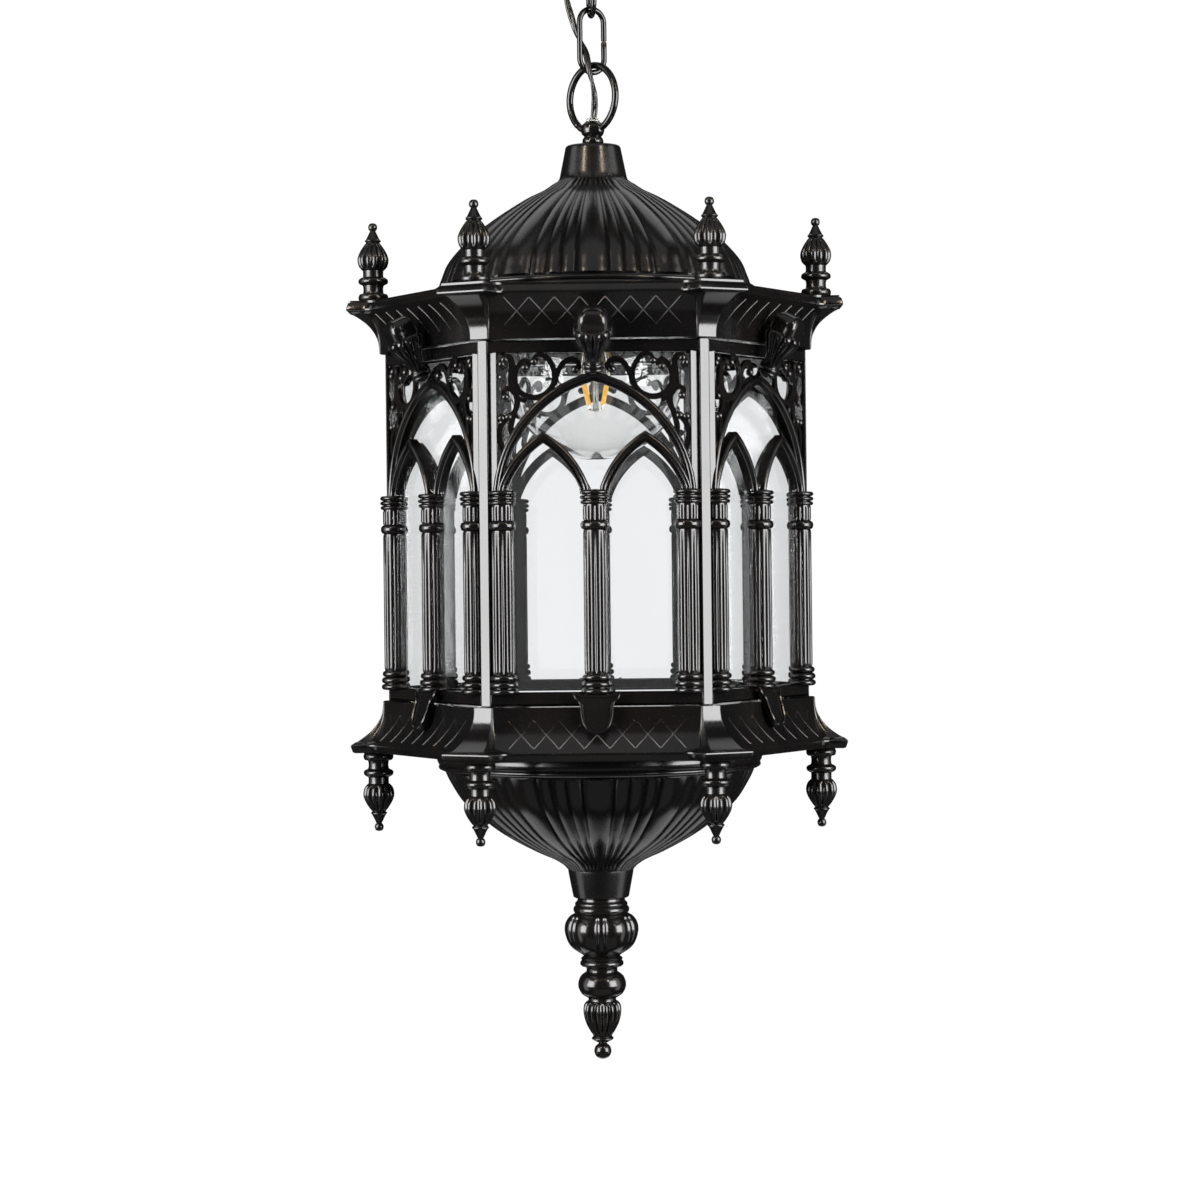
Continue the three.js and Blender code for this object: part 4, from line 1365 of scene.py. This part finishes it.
def window_frame():
    """One side of the lantern: rails, corner strips, columns, arches, scrollwork and leaf."""
    bm = bmesh.new()
    block(bm, (-PANEL_HALF, PANEL_FRONT, PANEL_LOW), (PANEL_HALF, PANEL_BACK, RAIL_BOTTOM), 0.7)
    block(bm, (-PANEL_HALF, PANEL_FRONT, RAIL_TOP), (PANEL_HALF, PANEL_BACK, PANEL_HIGH), 0.5)
    for side in (-1, 1):
        plan = [(55.2, PANEL_FRONT - 0.9), (60.4, PANEL_FRONT + 2.1), (59.4, PANEL_BACK), (55.2, PANEL_BACK)]
        plan = [(side * x, y) for x, y in plan]
        post(bm, plan, RAIL_BOTTOM - 0.6, RAIL_TOP + 0.6)
        add_to(bm, reeded_column(side * 52.8, 6.6, 12))
        small = {**SMALL_ARCH, "centre": side * SMALL_ARCH["centre"]}
        swept(bm, pointed_arch(**small), double_roll(1.9, 0.85, 5.6, 5))
        scrollwork(bm, side)
    add_to(bm, reeded_column(0, 7, 12))
    swept(bm, pointed_arch(**BIG_ARCH), double_roll(1.85, 0.85, 5.6, 5))
    bmesh.ops.recalc_face_normals(bm, faces=bm.faces)
    add_to(bm, leaf())
    return bm


def window_pane():
    """The flat glass behind one window frame."""
    bm = bmesh.new()
    block(bm, (-56.6, -106.1, 219.6), (56.6, -103.9, 425.6), 0.25)
    return bm


CORBEL_LEAN = math.radians(27)
CORBEL_FOOT = (0, -117.2, 409.8)


def corbel():
    """A leaning bracket: collar rings, flutes up to a scalloped crown, and a smooth cap."""
    profile = [
        (0, -1),
        *smooth_run([(4.6, -1), (5.5, -0.2), (5.5, 0.8), (4.7, 1.4)], 3),
        *smooth_run([(5.2, 1.9), (5.7, 2.6), (5.5, 3.6), (4.6, 4.2)], 3),
        *smooth_run([(4.4, 5), (5.2, 9), (7.2, 14), (9.6, 18.4), (11.2, 21.6), (11.5, 23.4)], 4),
        *smooth_run([(10.8, 24.6), (9.6, 25.2), (9.3, 26.6)], 3),
        *smooth_run([(9.2, 28), (9, 31.4), (8, 34.4), (5.6, 36.8), (2.4, 37.5)], 5),
        (0, 37.6),
    ]
    bm = turned(profile, 96)

    def scalloped(angle, r, z):
        flutes = fade(z, 4.6, 8) * (1 - fade(z, 23.8, 25))
        groove = 1 - abs(math.sin(6 * angle))
        r *= 1 - 0.16 * flutes * groove**1.5
        squared = (math.cos(angle) ** 4 + math.sin(angle) ** 4) ** 0.25
        return mixed(r, 0.94 * r / squared, fade(z, 25, 26.4))

    return moved(reshape(bm, scalloped), CORBEL_FOOT, CORBEL_LEAN, "X")


def corner_post():
    """The flat bar on one corner, between two windows."""
    bm = bmesh.new()
    post(bm, [(115, -3.2), (127, -3.2), (127, 3.2), (115, 3.2)], 217.8, 427.3)
    return bm


def fit_windows():
    """The six sides, each with its frame, glass, corbel and post."""
    frame_mesh = skin(window_frame(), "window_frame", PAINT, 38)
    pane_mesh = skin(window_pane(), "window_pane", WINDOW_GLASS)
    corbel_mesh = skin(corbel(), "arch_corbel", PAINT)
    post_mesh = skin(corner_post(), "angle_post", PAINT)
    for k in range(SIDES):
        turn = Matrix.Rotation(k * CORNER_STEP, 4, "Z")
        sets = (
            (frame_mesh, "window_frame", "black_paint", "panel"),
            (pane_mesh, "window_glass", "clear_glass", "pane"),
            (corbel_mesh, "arch_corbel", "black_paint", "corbel"),
            (post_mesh, "angle_post", "black_paint", "corner_post"),
        )
        for mesh, word, slot, stands_for in sets:
            name = f"{word}_{k + 1}"
            fit(placed_copy(mesh, name, turn), name, "lantern", [f"{stands_for}_{k + 1}"])


fit_windows()


# ---- finials ------------------------------------------------------------------------------------
FINIAL_CIRCLE = 134
TOP_FINIAL_BASE = 459.2
DROP_FINIAL_BASE = 186.5


def corner_finial():
    """Base ring, neck, ring, neck, fluted bud, flared collar, cone and ball."""
    profile = [
        (0, 0),
        (8, 0),
        *smooth_run([(8.5, 0.4), (9, 1.8), (9, 3), (8.4, 4.4), (7.4, 4.8)], 3),
        *smooth_run([(6.4, 5), (6.1, 6), (6, 8), (6.3, 9.8)], 3),
        *smooth_run([(7.2, 10.3), (8.7, 11.2), (9, 12.4), (8.6, 13.6), (7.2, 14.6), (6.2, 15)], 3),
        *smooth_run([(6.1, 16.6), (6.2, 18.8)], 3),
        *smooth_run([(7, 19.4), (8.7, 21.4), (9.5, 24.6), (9.2, 27.4), (7.8, 30.6), (5.6, 34), (4, 35.8)], 5),
        *smooth_run([(4.6, 36.3), (4.9, 37), (4.3, 37.6), (3.3, 39.4), (2, 42.2), (1.6, 43)], 3),
        *smooth_run([(2.3, 43.5), (2.75, 45), (2.3, 46.8), (1.2, 47.6), (0, 47.8)], 3),
    ]
    profile[-1] = (0, 47.8)
    bm = turned(profile, 96)

    def budded(angle, r, z):
        bud = fade(z, 19.2, 21.6) * (1 - fade(z, 33.4, 35.6))
        groove = 1 - abs(math.sin(6 * angle))
        return r - min(1.25, 0.24 * r) * bud * groove**1.2

    return reshape(bm, budded)


def fit_finials():
    """The twelve corner finials: six up, six down."""
    mesh = skin(corner_finial(), "corner_finial", SATIN_PAINT, place=Matrix())
    for k in range(SIDES):
        around = k * CORNER_STEP
        spot = Vector((FINIAL_CIRCLE * math.cos(around), FINIAL_CIRCLE * math.sin(around), 0))
        for word, base, tip_over in (("top", TOP_FINIAL_BASE, 0), ("drop", DROP_FINIAL_BASE, math.pi)):
            name = f"{word}_spire_{k + 1}"
            place = Matrix.Translation(spot + Vector((0, 0, base))) @ Matrix.Rotation(tip_over, 4, "X")
            copy = placed_copy(mesh, name, TO_FRAME @ place)
            fit(copy, name, "lantern", [f"{word}_finial_{k + 1}"])
    bpy.data.meshes.remove(mesh)


fit_finials()


MELON_RIB = 0.12


def tail_finial():
    """The turned drop under the bowl: fluted bud, ball, ring, and a melon of six wide lobes with ribs."""
    profile = [
        (0, -0.6),
        *smooth_run([(1.6, -0.2), (3.9, 1), (5.2, 4), (4.5, 7), (2.9, 8.6), (2.3, 9.3)], 4),
        *smooth_run([(3.6, 9.9), (5.6, 11), (6.7, 12), (6.1, 12.9), (5.5, 13.4)], 3),
        *smooth_run([(6, 14.4), (8, 17.4), (10.4, 22.4), (11.6, 28), (11.3, 32), (9.8, 34.2), (8.6, 34.8)], 5),
        *smooth_run([(8.4, 35.2), (8.4, 36.6)], 2),
        *smooth_run([(9.6, 37.2), (12.4, 39.2), (14.2, 42.6), (14.4, 46), (12.9, 49.8), (10.2, 52)], 5),
        *smooth_run([(9.4, 52.6), (9.4, 54.6), (10.2, 55.4)], 3),
        *smooth_run([(12, 55.8), (13.1, 57), (12.9, 58.6), (12, 59.4)], 3),
        *smooth_run([(12.3, 59.8), (12.6, 60.6), (11.6, 61.6), (10.8, 62.2)], 3),
        *smooth_run(
            [(12.4, 63.4), (17.6, 66.8), (20.6, 71), (22.3, 77), (21.8, 82), (19.2, 86), (15.8, 87.8)],
            5,
        ),
        *smooth_run([(16.2, 88.2), (16.9, 89.6), (16.7, 91.4), (15.6, 92.6)], 3),
        *smooth_run([(15.9, 93), (15.8, 94.2), (14.6, 95.4), (14.3, 96.9)], 3),
        (5, 96.9),
        (5, 118),
        (0, 118),
    ]
    bm = turned(profile, 192)

    def carved(angle, r, z):
        bud = fade(z, 14, 17) * (1 - fade(z, 32.6, 34.6))
        if bud:
            groove = 1 - abs(math.sin(8 * angle))
            return r - min(1.3, 0.2 * r) * bud * groove**1.2
        melon = fade(z, 63.6, 68) * (1 - fade(z, 85, 87.6))
        if not melon:
            return r
        within = ((angle - FRONT) / CORNER_STEP + 0.5) % 1 - 0.5
        if abs(within) < MELON_RIB:
            crown = math.sqrt(max(1 - (within / MELON_RIB) ** 2, 0)) * 0.5
        else:
            across = (abs(within) - 0.5) / (0.5 - MELON_RIB)
            crown = math.sqrt(max(1 - across * across, 0))
        return r * (1 - 0.14 * melon * (1 - crown))

    return reshape(bm, carved)


def set_screw():
    """A small grub screw in the bowl's collar, with a slot in its end."""
    bm = turned([(0, -5.25), (1.6, -5.25), (1.6, 4.9), (1.3, 5.25), (0.9, 5.25), (0.7, 4.5), (0, 4.5)], 24)
    return moved(bm, (0, -10.95, 101), math.pi / 2, "X")


piece(tail_finial(), "tail_spire", PAINT, "tip", ["bottom_finial"])
piece(set_screw(), "collar_screw", ZINC, "lantern", ["set_screw"])


# ---- lamp ---------------------------------------------------------------------------------------
GLOBE_RADIUS = 54
GLOBE_CENTRE = 416
GLASS_WALL = 0.9
GLOBE_STEPS = 48
NECK_ANGLE = 30.4
STICKS = 4
STICK_TURN = math.radians(51)


def lamp_holder():
    """A hollow porcelain holder that narrows to a bored neck."""
    profile = [
        (13.7, 484),
        (17.4, 484),
        *smooth_run([(18, 484.8), (18, 490), (17.4, 491), (17.6, 500), (17.8, 508), (17, 513)], 3),
        *smooth_run([(14.6, 516.6), (11, 519.6), (8.4, 521.4), (8, 524)], 3),
        (8, 532),
        (4.3, 532),
        (4.3, 516),
        (13.7, 513.6),
    ]
    return turned_tube(profile, 64)


def bulb_cap():
    """The screw cap: a thread between a plain skirt and an insulated contact."""
    profile = [(0, 484.6), (12.8, 484.6), (13, 486)]
    for i in range(6):
        z = 487 + 3.2 * i
        profile += [(12.4, z), (13.05, z + 0.9), (13.05, z + 1.7), (12.4, z + 2.6)]
    profile += [(12, 507.4), (8, 510.6), (5, 511.4), (4.4, 512.2), (0, 512.4)]
    return turned(profile, 64)


def bulb_globe():
    """A thin clear globe, closed at its foot and open at the neck's top."""
    outer, inner = [], []
    for i in range(GLOBE_STEPS + 1):
        a = math.radians(180 - (180 - NECK_ANGLE) * i / GLOBE_STEPS)
        outer.append((GLOBE_RADIUS * math.sin(a), GLOBE_CENTRE + GLOBE_RADIUS * math.cos(a)))
        within = GLOBE_RADIUS - GLASS_WALL
        inner.insert(0, (within * math.sin(a), GLOBE_CENTRE + within * math.cos(a)))
    outer[0] = (0, GLOBE_CENTRE - GLOBE_RADIUS)
    inner[-1] = (0, GLOBE_CENTRE - GLOBE_RADIUS + GLASS_WALL)
    neck_out = smooth_run([outer[-1], (19.6, 470.6), (15.6, 476), (14.4, 480), (14.4, 483.6)], 4)[1:]
    neck_in = [(max(x - GLASS_WALL, 1), z - 0.1) for x, z in reversed(neck_out)]
    return turned([*outer, *neck_out, *neck_in, *inner], 96)


def glass_stem():
    """The pressed glass stem, with its flare at the neck."""
    profile = [
        (0, 391.4),
        *smooth_run([(1.5, 391.7), (1.7, 393.4), (1.6, 412), (1.7, 436), (2.6, 444), (4, 452)], 4),
        *smooth_run([(4.2, 462), (5, 469), (8.6, 476.4)], 4),
        (8, 477.4),
        (0, 476.8),
    ]
    return turned(profile, 32)


def sealing_pip():
    """A drop of thicker glass inside the foot of the globe."""
    low = GLOBE_CENTRE - GLOBE_RADIUS + GLASS_WALL + 0.15
    drop = [(4.6, low + 0.9), (3, low + 1.9), (1.2, low + 3.4), (0, low + 3.8)]
    return turned([(0, low), (4.8, low + 0.25), *smooth_run(drop, 4)], 32)


def filament_sticks():
    """The sticks, leaning out a little from their feet beside the stem."""
    bm = bmesh.new()
    for k in range(STICKS):
        a = math.tau * k / STICKS + STICK_TURN
        foot = Vector((6 * math.cos(a), 6 * math.sin(a), 395.4))
        head = Vector((10.4 * math.cos(a), 10.4 * math.sin(a), 410))
        swept(bm, [foot.lerp(head, i / 4) for i in range(5)], round_section(1.05, 10))
    return outward(bm)


def lead_wires():
    """The thin leads from the stem to each stick's two ends."""
    bm = bmesh.new()
    section = round_section(0.3, 6)
    for k in range(STICKS):
        a = math.tau * k / STICKS + STICK_TURN
        c, s = math.cos(a), math.sin(a)
        for lead in (
            [(1.2, 444), (6, 436), (10.6, 422), (10.4, 409)],
            [(6, 395.8), (5.4, 393), (3, 392.2), (0, 393)],
        ):
            swept(bm, smooth_run([(c * reach, s * reach, z) for reach, z in lead], 4), section)
    return outward(bm)


piece(lamp_holder(), "porcelain_holder", PORCELAIN, "lantern", ["lamp_holder"])
piece(bulb_cap(), "screw_cap", NICKEL, "bulb", ["bulb_cap"])
piece(bulb_globe(), "globe_glass", BULB_GLASS, "bulb", ["bulb_globe"], 60)
piece(filament_sticks(), "filament_rods", PHOSPHOR_WITH_PAINTED_GLOW, "bulb", ["bulb_filament"])
piece(lead_wires(), "filament_leads", NICKEL, "bulb")
piece(glass_stem(), "bulb_stem", STEM_GLASS, "bulb")
piece(sealing_pip(), "bulb_pip", STEM_GLASS, "bulb")


# ---- floor, backdrop and light ------------------------------------------------------------------
FLOOR_HEIGHT = -1.5
BACKDROP_Y = 2.4
WARM = (1, 0.82, 0.64)


def pale_paper(name, glow):
    """Paper that glows evenly, so that it stays pale from every side."""
    material, tree, shader = new_finish(name)
    give(
        tree,
        shader,
        Base_Color=(0, 0, 0, 1),
        Roughness=0.8,
        Emission_Color=(1, 1, 1, 1),
        Emission_Strength=glow,
    )
    return material


def set_studio():
    """The pale floor and the backdrop."""
    for name, size, place, tilt, glow in (
        ("floor", 8, (0, 0, FLOOR_HEIGHT), 0, 0.94),
        ("backdrop", 7, (0, BACKDROP_Y, 0.5), math.pi / 2, 1.0),
    ):
        bm = bmesh.new()
        bmesh.ops.create_grid(bm, x_segments=1, y_segments=1, size=size / 2)
        mesh = skin(moved(bm, place, tilt, "X"), name, pale_paper(f"{name}_paper", glow), place=Matrix())
        obj = bpy.data.objects.new(name, mesh)
        bpy.context.scene.collection.objects.link(obj)
        obj.visible_glossy = False
        obj.visible_diffuse = False


def soft_box(name, round_angle, rise_angle, distance, width, height, power, colour=(1, 1, 1)):
    """A soft light aimed at the lantern's middle, at an angle round from the front towards the right."""
    data = bpy.data.lights.new(name, "AREA")
    data.shape = "RECTANGLE"
    data.size, data.size_y = width, height
    data.energy = power
    data.color = colour
    light = bpy.data.objects.new(name, data)
    bpy.context.scene.collection.objects.link(light)
    middle = Vector((0, 0, TIP + 0.33))
    a, e = math.radians(round_angle), math.radians(rise_angle)
    away = Vector((math.sin(a) * math.cos(e), -math.cos(a) * math.cos(e), math.sin(e)))
    light.location = middle + away * distance
    light.rotation_mode = "QUATERNION"
    light.rotation_quaternion = away.to_track_quat("Z", "Y")


def set_world():
    """A pale room to look at and through, that shows only faintly in the paint."""
    world = bpy.data.worlds.new("room")
    world.use_nodes = True
    tree = world.node_tree
    tree.nodes.clear()
    path = node(tree, "ShaderNodeLightPath")
    seen = worked(tree, "MAXIMUM", path.outputs["Is Camera Ray"], path.outputs["Is Transmission Ray"])
    strength = ranged(tree, seen, 0.0, 1.0, 0.02, 1.0)
    glow = node(tree, "ShaderNodeBackground", Color=(1, 1, 1, 1), Strength=strength)
    out = tree.nodes.new("ShaderNodeOutputWorld")
    tree.links.new(glow.outputs["Background"], out.inputs["Surface"])
    bpy.context.scene.world = world


set_studio()
soft_box("soft_box_left", -57, 4, 1.7, 1.05, 1.2, 60)
soft_box("soft_box_right", 57, 4, 1.7, 1.05, 1.2, 60)
soft_box("strip_left", -86, 0, 2.0, 0.9, 3.2, 14)
soft_box("strip_right", 86, 0, 2.0, 0.9, 3.2, 14)
soft_box("streak_left", -36, 34, 1.8, 0.1, 0.5, 6, WARM)
soft_box("streak_right", 36, 34, 1.8, 0.1, 0.5, 6, WARM)
soft_box("fill_above", 0, 62, 2.4, 3.2, 2.2, 10)
soft_box("back_above", 180, 58, 2.2, 2.6, 1.3, 11)
soft_box("back_below", 180, -58, 2.2, 2.6, 1.3, 11)
soft_box("fill_below", 0, -60, 2.4, 3.2, 2, 4)
set_world()
bpy.context.scene.view_settings.view_transform = "Standard"
